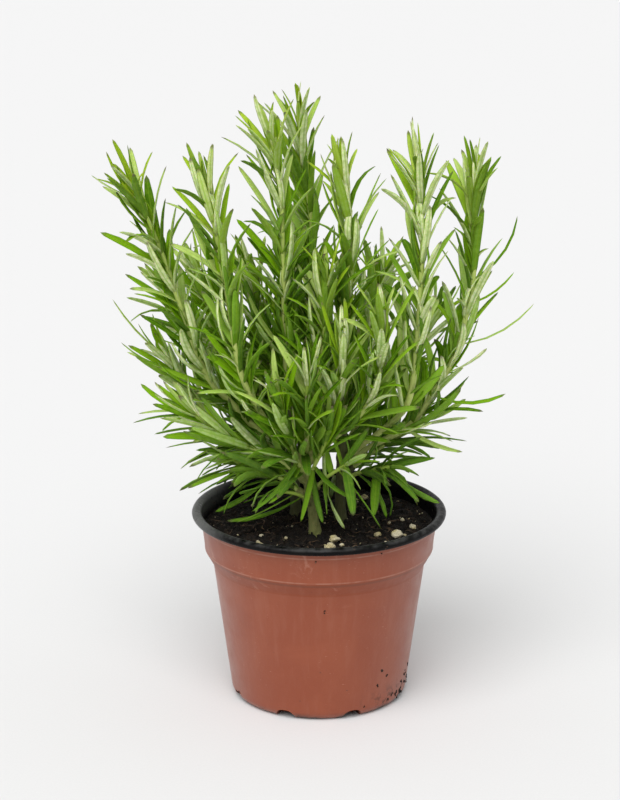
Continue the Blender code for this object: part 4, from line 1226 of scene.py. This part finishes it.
def leaf_curve(leaf, share):
    """Place, forward, top and side directions of a leaf at a share of its length: an even bend."""
    angle = leaf["turn"] * share
    cos = math.cos(angle)
    sin = math.sin(angle)
    forward = cos * leaf["forward"] + sin * leaf["bend"]
    if abs(leaf["turn"]) < STRAIGHT_TURN:
        place = leaf["root"] + leaf["length"] * share * leaf["forward"]
    else:
        radius = leaf["length"] / leaf["turn"]
        place = leaf["root"] + radius * (sin * leaf["forward"] + (1 - cos) * leaf["bend"])
    lean = np.dot(leaf["top"], leaf["bend"])
    top = leaf["top"] + lean * ((cos - 1) * leaf["bend"] - sin * leaf["forward"])
    return place, forward, top, np.cross(top, forward)


def leaf_mesh(leaf, grow=0.0):
    """A needle of three sides with a flat top and a keel, wide in the middle and pointed at the tip."""
    stations = LEAF_MIDDLE if abs(leaf["turn"]) < math.radians(CURLED_LEAF_TURN) else CURLED_LEAF_MIDDLE
    rows = [(0, LEAF_ROOT_HALF, LEAF_ROOT_TOP, LEAF_ROOT_KEEL)]
    rows += [(share, leaf["width"] / 2, LEAF_TOP, LEAF_KEEL) for share in stations]
    points = []
    for share, half, above, below in rows:
        place, forward, top, side = leaf_curve(leaf, share)
        points += [place + (half + grow) * side + (above + grow) * top,
                   place - (half + grow) * side + (above + grow) * top, place - (below + grow) * top]
    place, forward, top, side = leaf_curve(leaf, 1)
    points.append(place + 2 * grow * forward)
    low = len(stations) * 3
    tip = [(low + corner, low + (corner + 1) % 3, low + 3) for corner in range(3)]
    return np.array(points), [(2, 1, 0), *bands(len(rows), 3).tolist(), *tip]


def known_leaf(stem, height, tip, turn, width):
    """A leaf from a known height on its stem to a known tip, bent upwards by the turn in degrees."""
    root = stem[np.argmin(np.abs(stem[:, 2] - height))]
    chord = np.array(tip, float) - root
    reach = np.linalg.norm(chord)
    chord /= reach
    half = math.radians(turn) / 2
    rise = unit(np.array((0, 0, 1)) - chord[2] * chord)
    forward = math.cos(half) * chord - math.sin(half) * rise
    bend = math.sin(half) * chord + math.cos(half) * rise
    length = reach * half / math.sin(half)
    return {"root": root, "forward": forward, "bend": bend, "top": bend, "turn": 2 * half,
            "length": length, "width": width}


def known_leaves(rows, name, stem, from_tip):
    """The leaves of a list that stand on the stem of this name."""
    return [known_leaf(stem, *row[1:]) | {"from_tip": from_tip} for row in rows if row[0] == name]


def held(value, least=0, most=1):
    """The value, held between two limits."""
    return min(max(value, least), most)


def leaf_at(stem, frames, place, azimuth, from_tip, rng, tight):
    """A leaf of a pair: steep and short near the tip of the shoot, wider spread and longer further down,
    and hanging where the root is low over the soil."""
    tangents, left, front = frames
    tangent = tangents[place]
    out = math.cos(azimuth) * left[place] + math.sin(azimuth) * front[place]
    young = math.exp(-from_tip / YOUNG_REACH)
    old = held((from_tip - OLD_START) / OLD_REACH)
    hanging = held((HANGING_TOP - stem[place][2]) / HANGING_REACH)
    spread = math.radians(SPREAD + SPREAD_YOUNG * young + SPREAD_OLD * old + SPREAD_HANGING * hanging
                          - tight + rng.uniform(-SPREAD_WANDER, SPREAD_WANDER))
    forward = unit(math.cos(spread) * tangent + math.sin(spread) * out + np.array(LIGHT_LEAN))
    inner = math.sin(spread) * tangent - math.cos(spread) * out
    inner = unit(inner - np.dot(inner, forward) * forward)
    rise = np.array((0.0, 0.0, 1.0)) - forward[2] * forward
    lift = RISE_YOUNG + RISE_OLD * old - DROOP * hanging
    bend = unit(inner * rng.uniform(BEND_OUTWARD, BEND_INWARD) + rise * lift)
    turn = math.radians(rng.uniform(CURVE_LEAST, CURVE_MOST) + CURVE_OLD * max(old, hanging))
    grown = min(from_tip / YOUNG_ZONE, 1)
    length = LEAF_LENGTH * (YOUNG_LENGTH + (1 - YOUNG_LENGTH) * grown) * rng.uniform(*LENGTH_SPREAD)
    width = LEAF_WIDTH * (YOUNG_WIDTH + (1 - YOUNG_WIDTH) * grown) * rng.uniform(*WIDTH_SPREAD)
    return {"root": stem[place] + LEAF_ROOT_OUT * out, "forward": forward, "bend": bend, "top": inner,
            "turn": turn, "length": length, "width": width}


def clear_of_pot(leaf):
    """Whether a leaf stays above the soil and the lip."""
    for share in CLEAR_SHARES:
        x, y, z = leaf_curve(leaf, share)[0]
        over_lip = LIP_CLEAR_INSIDE < math.hypot(x, y) < LIP_CLEAR_OUTSIDE
        if z < (POT_HEIGHT + LIP_CLEAR if over_lip else SOIL_TOP + SOIL_CLEAR):
            return False
    return True


def tree_of(parts):
    """One search tree over several meshes of points and faces."""
    points, faces = merged(parts)
    return BVHTree.FromPolygons([Vector(point) for point in points], faces)


def stem_spin(index):
    """The turn of a shoot's square stem, whose leaf pairs stand on its flat sides."""
    return index * GOLDEN_SHARE % 1 * math.pi / 2


def stem_radii(from_tip):
    """The stem's radius at these distances from its tip: it tapers towards the tip."""
    share = np.clip(from_tip / STEM_TAPER, 0, 1)
    return STEM_TIP_RADIUS + (STEM_FOOT_RADIUS - STEM_TIP_RADIUS) * share


def stem_mesh(plant, index):
    """The closed tube of a shoot's stem."""
    stem = plant.stem(index)
    length = route_lengths(stem)[-1]
    places = np.linspace(0, length, max(3, int(round(length / STEM_RING_STEP)) + 1))
    return tube(stretch(stem, places), stem_radii(length - places), STEM_SIDES, stem_spin(index))


def pair_pitch(from_tip):
    """How far the next leaf pair is down the stem: close together near the tip."""
    return PAIR_PITCH_TIP + (PAIR_PITCH - PAIR_PITCH_TIP) * min(from_tip / PAIR_ZONE, 1)


def place_leaves(plant):
    """The model's leaves of every shoot, then the meshes that they are kept clear of: stems and wood."""
    stems = [stem_mesh(plant, index) for index in range(len(SHOOTS))]
    wood = [mesh for crown in range(len(TRUNKS)) for mesh in crown_meshes(plant, crown)]
    placed = []
    leaves_of = []
    for index, shoot in enumerate(SHOOTS):
        rng = np.random.default_rng((SEED, index))
        others = tree_of(wood + [stem for other, stem in enumerate(stems) if other != index] + placed)
        stem = plant.stem(index)
        frames = route_frames(stem)
        lengths = route_lengths(stem)
        leaves = known_leaves(KNOWN_LEAVES, shoot[0], stem, KNOWN_FROM_TIP)
        from_tip = FIRST_PAIR
        azimuth = stem_spin(index)
        tight = TIGHT_SHOOTS.get(shoot[0], 0.0)
        while from_tip < lengths[-1] - BARE_FEET.get(shoot[0], BARE_FOOT):
            place = int(np.argmin(np.abs(lengths[-1] - lengths - from_tip)))
            for half in (0, math.pi):
                for attempt in range(PLACE_TRIES):
                    wander = AIM_WANDER + AIM_WANDER_STEP * attempt
                    aim = azimuth + half + rng.uniform(-wander, wander)
                    leaf = leaf_at(stem, frames, place, aim, from_tip, rng, tight)
                    leaf["length"] *= 1 - SHORTEN_STEP * attempt
                    if clear_of_pot(leaf) and not tree_of([leaf_mesh(leaf, LEAF_CLEAR)]).overlap(others):
                        leaves.append(leaf | {"from_tip": from_tip})
                        break
            azimuth += math.pi / 2
            from_tip += pair_pitch(from_tip)
        placed += [leaf_mesh(leaf) for leaf in leaves]
        leaves_of.append(leaves)
    return leaves_of, stems, wood


def fill_shares(place, tangent):
    """How full of added leaves the shoot is here: a share for the inside of the bush, a smaller one low in
    front, and a share for how upright and high the shoot stands."""
    x, y, z = place
    low = INSIDE_LOW_FRONT if y < FRONT_SIDE else INSIDE_LOW
    least = LEAST_FRONT if y < FRONT_HALF else LEAST_BEHIND
    inside = held((INSIDE_RADIUS - math.hypot(x, y)) / INSIDE_FADE) * held((INSIDE_TOP - z) / INSIDE_TOP_FADE)
    upright = held((tangent[2] - FLAT_STEM) / (2 * FLAT_STEM), LEAST_FLAT)
    inside *= held((z - low) / INSIDE_LOW_FADE, least)
    return inside, upright * held((z - LOW_STEM) / LOW_STEM_FADE, LEAST_LOW)


def fill_leaf(route, frames, place, aim, from_tip, rng, tight, attempt, tuft):
    """One added leaf: more curled than the model's own, and shorter with each attempt and in a tuft."""
    leaf = leaf_at(route, frames, place, aim, TUFT_FROM_TIP if tuft else from_tip, rng, tight)
    leaf["turn"] *= rng.uniform(*FILL_CURL)
    leaf["length"] *= (1 - FILL_SHORTEN * attempt) * rng.uniform(*(TUFT_LENGTHS if tuft else FILL_LENGTHS))
    leaf["width"] *= rng.uniform(*FILL_WIDTHS)
    leaf["root"] = leaf["root"] + TUFT_STEP * tuft * frames[0][place]
    return leaf


def fill_leaves(plant, leaves_of, stems, wood):
    """The added leaves of every shoot: pairs between the model's own, short tufts in the axils of the older
    leaves, and old leaves that hang from the barked foot. The inside of the bush is full of them and the
    low spreading shoots carry few. A leaf that would cross another shoot is turned, shortened or left out."""
    coarse = [[leaf_mesh(leaf) for leaf in leaves] for leaves in leaves_of]
    timber = tree_of(wood)
    added_of = []
    for index, shoot in enumerate(SHOOTS):
        rng = np.random.default_rng((SEED + 1, index))
        others = tree_of([stem for other, stem in enumerate(stems) if other != index]
                         + [mesh for other, meshes in enumerate(coarse) if other != index for mesh in meshes])
        route = plant.routes[index]
        frames = route_frames(route)
        lengths = route_lengths(route)
        added = known_leaves(HANGING_LEAVES, shoot[0], plant.stem(index), HANGING_FROM_TIP)
        from_tip = FILL_START
        azimuth = stem_spin(index) + math.pi / 4
        tight = TIGHT_SHOOTS.get(shoot[0], 0.0)
        while from_tip < lengths[-1] - FILL_END - BARE_FEET.get(shoot[0], 0.0):
            place = int(np.argmin(np.abs(lengths[-1] - lengths - from_tip)))
            on_bark = lengths[place] < plant.bark[index]
            tangent, left, front = (frame[place] for frame in frames)
            inside, upright = fill_shares(route[place], tangent)
            for half in (0, math.pi):
                if rng.random() > max(FILL_INSIDE * inside, upright):
                    continue
                tufts = TUFT_LEAVES if from_tip > TUFT_START and rng.random() < TUFT_SHARE else 1
                for tuft in range(tufts):
                    for attempt in range(FILL_TRIES):
                        wander = FILL_WANDER + FILL_WANDER_STEP * attempt + TUFT_WANDER * (tuft > 0)
                        aim = azimuth + half + rng.uniform(-wander, wander)
                        facing = math.cos(aim) * left[1] + math.sin(aim) * front[1]
                        if from_tip > OPEN_FRONT_START and facing < OPEN_FRONT:
                            continue
                        leaf = fill_leaf(route, frames, place, aim, from_tip, rng, tight, attempt, tuft)
                        if leaf_curve(leaf, 1)[0][0] > THIN_SIDE:
                            break
                        probe = tree_of([leaf_mesh(leaf, FILL_CLEAR)])
                        if (clear_of_pot(leaf) and not probe.overlap(others)
                                and (on_bark or not probe.overlap(timber))):
                            added.append(leaf | {"from_tip": from_tip, "tuft": tuft > 0})
                            break
            azimuth += FILL_TURN
            crowding = FILL_SHARE_INSIDE if inside > 0.5 else 1.0
            from_tip += FILL_SHARE * crowding * pair_pitch(from_tip)
        coarse[index] = coarse[index] + [leaf_mesh(leaf) for leaf in added]
        added_of.append(added)
    return added_of


# The fine leaf: its section across and up, in half widths, how much of each corner is underside, and the
# rows along it with their widths
LEAF_SECTION = np.array([(0.0, 0.07), (0.55, 0.22), (1.0, 0.0), (0.62, -0.16), (0.0, -0.26), (-0.62, -0.16),
                         (-1.0, 0.0), (-0.55, 0.22)])
LEAF_UNDER = np.array([0.0, 0.0, 0.5, 1.0, 1.0, 1.0, 0.5, 0.0])
LEAF_ROWS = np.array([0.0, 0.10, 0.33, 0.55, 0.76, 0.94])
LEAF_WIDTHS = np.array([0.42, 0.78, 0.98, 1.0, 0.89, 0.53])
LEAF_GREEN = (0.172, 0.360, 0.002)
LEAF_YOUNG = (0.420, 0.555, 0.030)
LEAF_LIGHT = (0.480, 0.610, 0.160)
LEAF_DEEP = (0.044, 0.132, 0.003)
LEAF_MOTTLE = (0.230, 0.400, 0.022)
LEAF_VEIN = (0.042, 0.120, 0.002)
LEAF_RIB = (0.260, 0.400, 0.030)
LEAF_EDGE = (0.290, 0.420, 0.060)
LEAF_FOOT = (0.300, 0.420, 0.050)
# Painted shade and a soft painted sheen: a darker, greyer green for leaves hung low over the soil
LEAF_HUNG_SHADE_AND_SHEEN = (0.100, 0.190, 0.036)
LEAF_DRY = (0.120, 0.095, 0.060)
FELT = (0.500, 0.610, 0.220)
FELT_PALE = (0.740, 0.810, 0.460)
FELT_RIB = (0.260, 0.420, 0.060)
STEM_OLD = (0.480, 0.550, 0.160)
STEM_YOUNG = (0.290, 0.430, 0.040)
STEM_STREAK = (0.280, 0.340, 0.080)
STEM_BROWN = (0.260, 0.200, 0.080)


def leaf_points(leaves):
    """Points and attributes of all leaves at once. Each row is the leaf's section, laid across its bent
    middle line at a share of its length, and one more point closes the tip."""
    def stack(key):
        return np.array([leaf[key] for leaf in leaves], float)

    keys = ("root", "forward", "bend", "top", "turn", "length", "width")
    root, forward, bend, top, turn, length, width = (stack(key) for key in keys)
    turn = np.where(np.abs(turn) < STRAIGHT_TURN, STRAIGHT_TURN, turn)
    shares = np.append(LEAF_ROWS, 1.0)
    angle = turn[:, None] * shares
    cos = np.cos(angle)[..., None]
    sin = np.sin(angle)[..., None]
    radius = (length / turn)[:, None, None]
    place = root[:, None] + radius * (sin * forward[:, None] + (1 - cos) * bend[:, None])
    ahead = cos * forward[:, None] + sin * bend[:, None]
    lean = np.einsum("ij,ij->i", top, bend)[:, None, None]
    above = top[:, None] + lean * ((cos - 1) * bend[:, None] - sin * forward[:, None])
    side = np.cross(above, ahead)
    twist = (stack("twist")[:, None] * shares)[..., None]
    side, above = (np.cos(twist) * side + np.sin(twist) * above,
                   np.cos(twist) * above - np.sin(twist) * side)
    half = (width / 2)[:, None] * LEAF_WIDTHS
    rows = len(LEAF_ROWS)
    rings = (place[:, :rows, None]
             + half[:, :, None, None] * LEAF_SECTION[None, None, :, :1] * side[:, :rows, None]
             + half[:, :, None, None] * LEAF_SECTION[None, None, :, 1:] * above[:, :rows, None])
    points = np.concatenate([rings.reshape(len(leaves), -1, 3), place[:, rows:]], axis=1)
    count = points.shape[1]
    attributes = {"along": np.append(np.repeat(LEAF_ROWS, len(LEAF_SECTION)), 1.0),
                  "across": np.append(np.tile(LEAF_SECTION[:, 0], rows), 0.0),
                  "under": np.append(np.tile(LEAF_UNDER, rows), 0.5)}
    attributes = {key: np.tile(values, len(leaves)) for key, values in attributes.items()}
    attributes |= {key: np.repeat(stack(key), count) for key in ("tone", "youth", "dry", "hung")}
    return points.reshape(-1, 3), attributes


def leaf_faces(count):
    """Faces of this many leaves: bands between the rows, the tip's fan and the cap of the root."""
    sections = len(LEAF_SECTION)
    size = sections * len(LEAF_ROWS) + 1
    last = size - 1 - sections
    cap = np.arange(sections)
    fan = np.stack([last + cap, np.full(sections, size - 1), last + (cap + 1) % sections], axis=-1)
    start = np.arange(count) * size
    around = bands(len(LEAF_ROWS), sections)[:, [0, 3, 2, 1]]
    faces = []
    for part in (around, fan, cap[None]):
        faces += (part[None] + start[:, None, None]).reshape(-1, part.shape[1]).tolist()
    return faces


def leaf_material():
    """Leaf green by age and side: the young ones yellow-green, the old ones deeper, the underside a pale sage
    with a green midrib, and on some leaves a dry brown tip. A low tone gives a deep green, which is partly
    random and partly painted shade; leaves hung low over the soil get a darker, greyer green, painted shade
    and sheen."""
    paint = Paint("rosemary_leaf")
    keys = ("along", "across", "under", "tone", "youth", "dry", "hung")
    along, offset, under, tone, youth, dry, hung = (paint.attribute(key) for key in keys)
    across = paint.reckon("ABSOLUTE", offset)
    mottle = paint.noise(420, 4.0, 0.6)
    own = {0: paint.times(offset, 2.4), 1: paint.times(along, 22.0), 2: paint.times(tone, 31.0)}
    veins = paint.noise(2.6, 3.0, 0.6, at=paint.node("CombineXYZ", own)["Vector"])
    felt = paint.coated(FELT, (paint.span(mottle, 0.35, 0.65), FELT_PALE),
                        (paint.span(across, 0.30, 0.10, 0.0, 0.6), FELT_RIB))
    colour = paint.coated(
        LEAF_GREEN,
        (youth, LEAF_YOUNG),
        (paint.span(tone, 0.0, 1.0, 0.0, 0.85), LEAF_LIGHT),
        # deep green for a low tone: partly at random, partly painted shade inside the bush and over the soil
        (paint.span(tone, 0.0, -1.0, 0.0, 0.85), LEAF_DEEP),
        (paint.span(mottle, 0.40, 0.70, 0.0, 0.35), LEAF_MOTTLE),
        (paint.span(veins, 0.50, 0.75, 0.0, 0.30), LEAF_VEIN),
        (paint.span(across, 0.22, 0.02, 0.0, 0.35), LEAF_RIB),
        (paint.span(across, 0.80, 1.0, 0.0, 0.35), LEAF_EDGE),
        (paint.times(paint.span(under, 0.52, 0.80), paint.span(tone, -0.5, 0.4, 0.06, 1.0)), felt),
        (paint.span(along, 0.16, 0.0, 0.0, 0.55), LEAF_FOOT),
        # painted shade and sheen on the leaves hung low over the soil
        (paint.span(hung, 0.1, 0.9, 0.0, 0.42), LEAF_HUNG_SHADE_AND_SHEEN),
        (paint.times(paint.span(along, 0.88, 0.97), dry), LEAF_DRY))
    rough = paint.reckon("ADD", paint.span(mottle, 0.3, 0.7, 0.36, 0.50),
                         paint.span(under, 0.5, 0.8, 0.0, 0.30))
    ribbed = paint.bump(veins, 0.00025, paint.bump(paint.noise(2600, 3.0, 0.6), 0.00012))
    return paint.finish(Base_Color=colour, Roughness=rough, Normal=ribbed, IOR=1.42,
                        Specular_IOR_Level=paint.span(tone, -0.3, 0.7, 0.04, 0.42), Subsurface_Weight=0.30,
                        Subsurface_Radius=(0.0009, 0.0016, 0.0002), Subsurface_Scale=1.0)


def stem_material():
    """Stem green: pale yellow-green with fine down and streaks, browner at the foot."""
    paint = Paint("rosemary_stem")
    youth = paint.attribute("youth")
    streak = paint.noise(1300, 4.0, 0.6, 0.3, at=paint.place((1, 1, 0.2)))
    blotch = paint.noise(240, 3.0, 0.6)
    brown = paint.times(paint.span(blotch, 0.45, 0.65), paint.span(youth, 0.35, 0.0), 0.20)
    colour = paint.coated(STEM_OLD, (youth, STEM_YOUNG),
                          (paint.span(streak, 0.50, 0.72, 0.0, 0.35), STEM_STREAK), (brown, STEM_BROWN))
    return paint.finish(Base_Color=colour, Roughness=paint.span(streak, 0.3, 0.7, 0.50, 0.72),
                        Normal=paint.bump(streak, 0.0003), Subsurface_Weight=0.10,
                        Subsurface_Radius=(0.0010, 0.0014, 0.0005), Subsurface_Scale=1.0)


# The fine stem: its rings, how far it reaches into the bark and past its route, and its swelling at a leaf
# pair, closing at the tip and fading youth
FINE_STEM_SIDES = 10
FINE_STEM_STEP = 2.2
STEM_IN_BARK = 3.0
STEM_PAST_TIP = 0.5
KNOT_REACH = 1.3
STEM_SLIMNESS = 0.94
KNOT_SWELL = 0.10
STEM_TIP_CLOSING = 0.45
STEM_YOUTH_REACH = 45


def fine_stem(plant, index, stations):
    """Points, faces and youth of a shoot's fine stem. It swells a little at each leaf pair, tapers to the
    tip and its foot sits inside the bark."""
    route = plant.routes[index]
    length = route_lengths(route)[-1]
    places = np.linspace(plant.bark[index] - STEM_IN_BARK, length + STEM_PAST_TIP,
                         max(8, int(length / FINE_STEM_STEP)))
    from_tip = length - places
    knots = np.exp(-((from_tip[:, None] - np.array(stations)[None]) / KNOT_REACH) ** 2).sum(axis=1)
    radii = stem_radii(from_tip) * (STEM_SLIMNESS + KNOT_SWELL * np.clip(knots, 0, 1))
    radii[-1] *= STEM_TIP_CLOSING
    points, faces = tube(stretch(route, np.minimum(places, length)), radii, FINE_STEM_SIDES, stem_spin(index))
    points[-FINE_STEM_SIDES:] += STEM_PAST_TIP * unit(route[-1] - route[-3])
    youth = np.repeat(np.exp(-np.clip(from_tip, 0, None) / STEM_YOUTH_REACH), FINE_STEM_SIDES)
    return points, faces, youth


# The leaves' tones: their mean and spread, each shoot's own spread, and how much darker they are painted
# as shade inside the bush and where they hang low over the soil
TONE_MEAN = 0.18
TONE_SPREAD = 0.74
MOOD_SPREAD = 0.25
SHADE_TONE = 1.2
HUNG_TONE = 0.35
# Where the shade is and where leaves count as hung over the soil: out to a radius and up to a height
SHADE_RADIUS = 62
SHADE_TOP = 245
SHADE_FADE = 50
HUNG_TOP = 150
HUNG_TOP_FADE = 20
HUNG_RADIUS = 66
HUNG_FADE = 22
# Where the light reaches in, up from this height: young leaves are yellow-green, and more so there, which is
# painted light; and how far from the tip they are young
LIGHT_LOW = 165
LIGHT_RISE = 85
YOUTH_REACH = 26
YOUTH_IN_SHADE = 0.15
YOUTH_IN_LIGHT = 0.85
YOUTH_STRAY = (0.02, 0.08)
TUFT_YOUTH = 0.2
DRY_SHARE = 0.75
DRY_DEPTHS = (0.35, 0.95)
HUNG_LEAST = 0.5
TWIST = 0.35
TWIST_HUNG = 0.55


def colour_leaves(leaves, rng):
    """Gives each leaf its tone, from deep at -1 to light at 1, its youth, its dry tip, how much it hangs low
    over the soil and how far it twists to its tip. The tone is drawn at random and lowered inside the bush
    and low over the soil, as painted shade; the youth is raised high up, as painted light."""
    mood = rng.normal(0, MOOD_SPREAD)
    for leaf in leaves:
        x, y, z = leaf["root"]
        middle = math.hypot(x, y)
        shaded = max(0, 1 - middle / SHADE_RADIUS) * held((SHADE_TOP - z) / SHADE_FADE)
        hung = held((HUNG_TOP - z) / HUNG_TOP_FADE) * held((HUNG_RADIUS - middle) / HUNG_FADE)
        # Painted shade: the tone is lowered inside the bush and for leaves hung low over the soil
        tone = rng.normal(mood + TONE_MEAN - SHADE_TONE * shaded - HUNG_TONE * hung, TONE_SPREAD)
        # Painted light: young leaves and tufts are made yellower high up, where the light falls
        light = held((z - LIGHT_LOW) / LIGHT_RISE)
        young = math.exp(-leaf["from_tip"] / YOUTH_REACH) * (YOUTH_IN_SHADE + YOUTH_IN_LIGHT * light)
        youth = young + rng.normal(*YOUTH_STRAY) + TUFT_YOUTH * leaf.get("tuft", False) * light
        leaf["tone"] = held(tone, -1)
        leaf["youth"] = held(youth)
        leaf["dry"] = float(rng.random() < DRY_SHARE) * rng.uniform(*DRY_DEPTHS)
        leaf["hung"] = hung * rng.uniform(HUNG_LEAST, 1.0)
    for leaf in leaves:
        leaf["twist"] = rng.normal(0, TWIST + TWIST_HUNG * leaf["hung"])


def make_shoots(plant):
    """Each shoot as one piece, its stem and all its leaves."""
    leaf_paint = leaf_material()
    stem_paint = stem_material()
    leaves_of, stems, wood = place_leaves(plant)
    added_of = fill_leaves(plant, leaves_of, stems, wood)
    for index, shoot in enumerate(SHOOTS):
        leaves = leaves_of[index] + added_of[index]
        colour_leaves(leaves, np.random.default_rng((SEED + 2, index)))
        points, attributes = leaf_points(leaves)
        stem_points, stem_faces, stem_youth = fine_stem(plant, index, [leaf["from_tip"] for leaf in leaves])
        faces = leaf_faces(len(leaves))
        slots = [0] * len(faces) + [1] * len(stem_faces)
        faces += [tuple(corner + len(points) for corner in face) for face in stem_faces]
        for label, values in attributes.items():
            extra = stem_youth if label == "youth" else np.zeros(len(stem_points))
            attributes[label] = np.concatenate([values, extra])
        points = np.vstack([points, stem_points])
        piece = mesh_piece(f"{shoot[0]}_foliage", points, faces, [leaf_paint, stem_paint], attributes, slots)
        hand_in(piece, "leaf", shoot[0])


make_shoots(plant)


# The studio: a pale floor with no horizon, an even pale surround, one broad soft light from the upper
# left and the camera at the height and distance of the photograph.
CAMERA_DISTANCE = 1.2
CAMERA_PITCH = math.radians(15.67)
AIM_HEIGHT = 0.17
FOCAL_LENGTH = 106.65
AIM_RIGHT = -0.00384
AIM_UP = -0.01063
SENSOR_WIDTH = 36.0
FLOOR_HALF = 40.0
FLOOR_PALE = (0.685, 0.685, 0.685)
FLOOR_PALER = (0.700, 0.700, 0.700)
SURROUND_STRENGTH = 0.64
SUN_STRENGTH = 2.70
SUN_SOFTNESS = 50
SUN_SHINES_ALONG = (0.26, 0.95, -1.35)


def make_floor():
    """The floor, a square of paper just under the pot, with its half width in metres."""
    paint = Paint("floor_paper")
    grain = paint.noise(900)
    colour = paint.coated(FLOOR_PALE, (paint.span(grain, 0.3, 0.7), FLOOR_PALER))
    paper = paint.finish(Base_Color=colour, Roughness=0.9, Normal=paint.bump(grain, 0.00002))
    corners = np.array([(-1, -1, 0), (1, -1, 0), (1, 1, 0), (-1, 1, 0)]) * FLOOR_HALF / MM
    floor = mesh_piece("floor", corners, [(0, 1, 2, 3)], [paper], smooth=False)


def make_light():
    """An even surround and a broad soft sun."""
    world = bpy.data.worlds.new("studio")
    world.use_nodes = True
    surround = world.node_tree.nodes["Background"]
    surround.inputs["Color"].default_value = (1, 1, 1, 1)
    surround.inputs["Strength"].default_value = SURROUND_STRENGTH
    bpy.context.scene.world = world
    sun = bpy.data.lights.new("key", "SUN")
    sun.energy = SUN_STRENGTH
    sun.angle = math.radians(SUN_SOFTNESS)
    lamp = bpy.data.objects.new("key", sun)
    lamp.rotation_euler = Vector(SUN_SHINES_ALONG).to_track_quat("-Z", "Y").to_euler()
    bpy.context.scene.collection.objects.link(lamp)


def make_camera():
    """The camera, aimed a little past the fitted axis, so that the picture needs no shift."""
    cos = math.cos(CAMERA_PITCH)
    sin = math.sin(CAMERA_PITCH)
    camera = bpy.data.objects.new("camera", bpy.data.cameras.new("camera"))
    camera.data.lens = FOCAL_LENGTH
    camera.data.sensor_width = SENSOR_WIDTH
    camera.data.clip_end = 50
    camera.location = (0, -CAMERA_DISTANCE * cos, AIM_HEIGHT + CAMERA_DISTANCE * sin)
    aim = Vector((0, cos, -sin)) + AIM_RIGHT * Vector((1, 0, 0)) + AIM_UP * Vector((0, sin, cos))
    camera.rotation_euler = aim.to_track_quat("-Z", "Y").to_euler()
    bpy.context.scene.collection.objects.link(camera)
    bpy.context.scene.camera = camera


make_floor()
make_light()
make_camera()
bpy.context.scene.view_settings.view_transform = "Standard"

bpy.context.view_layer.update()
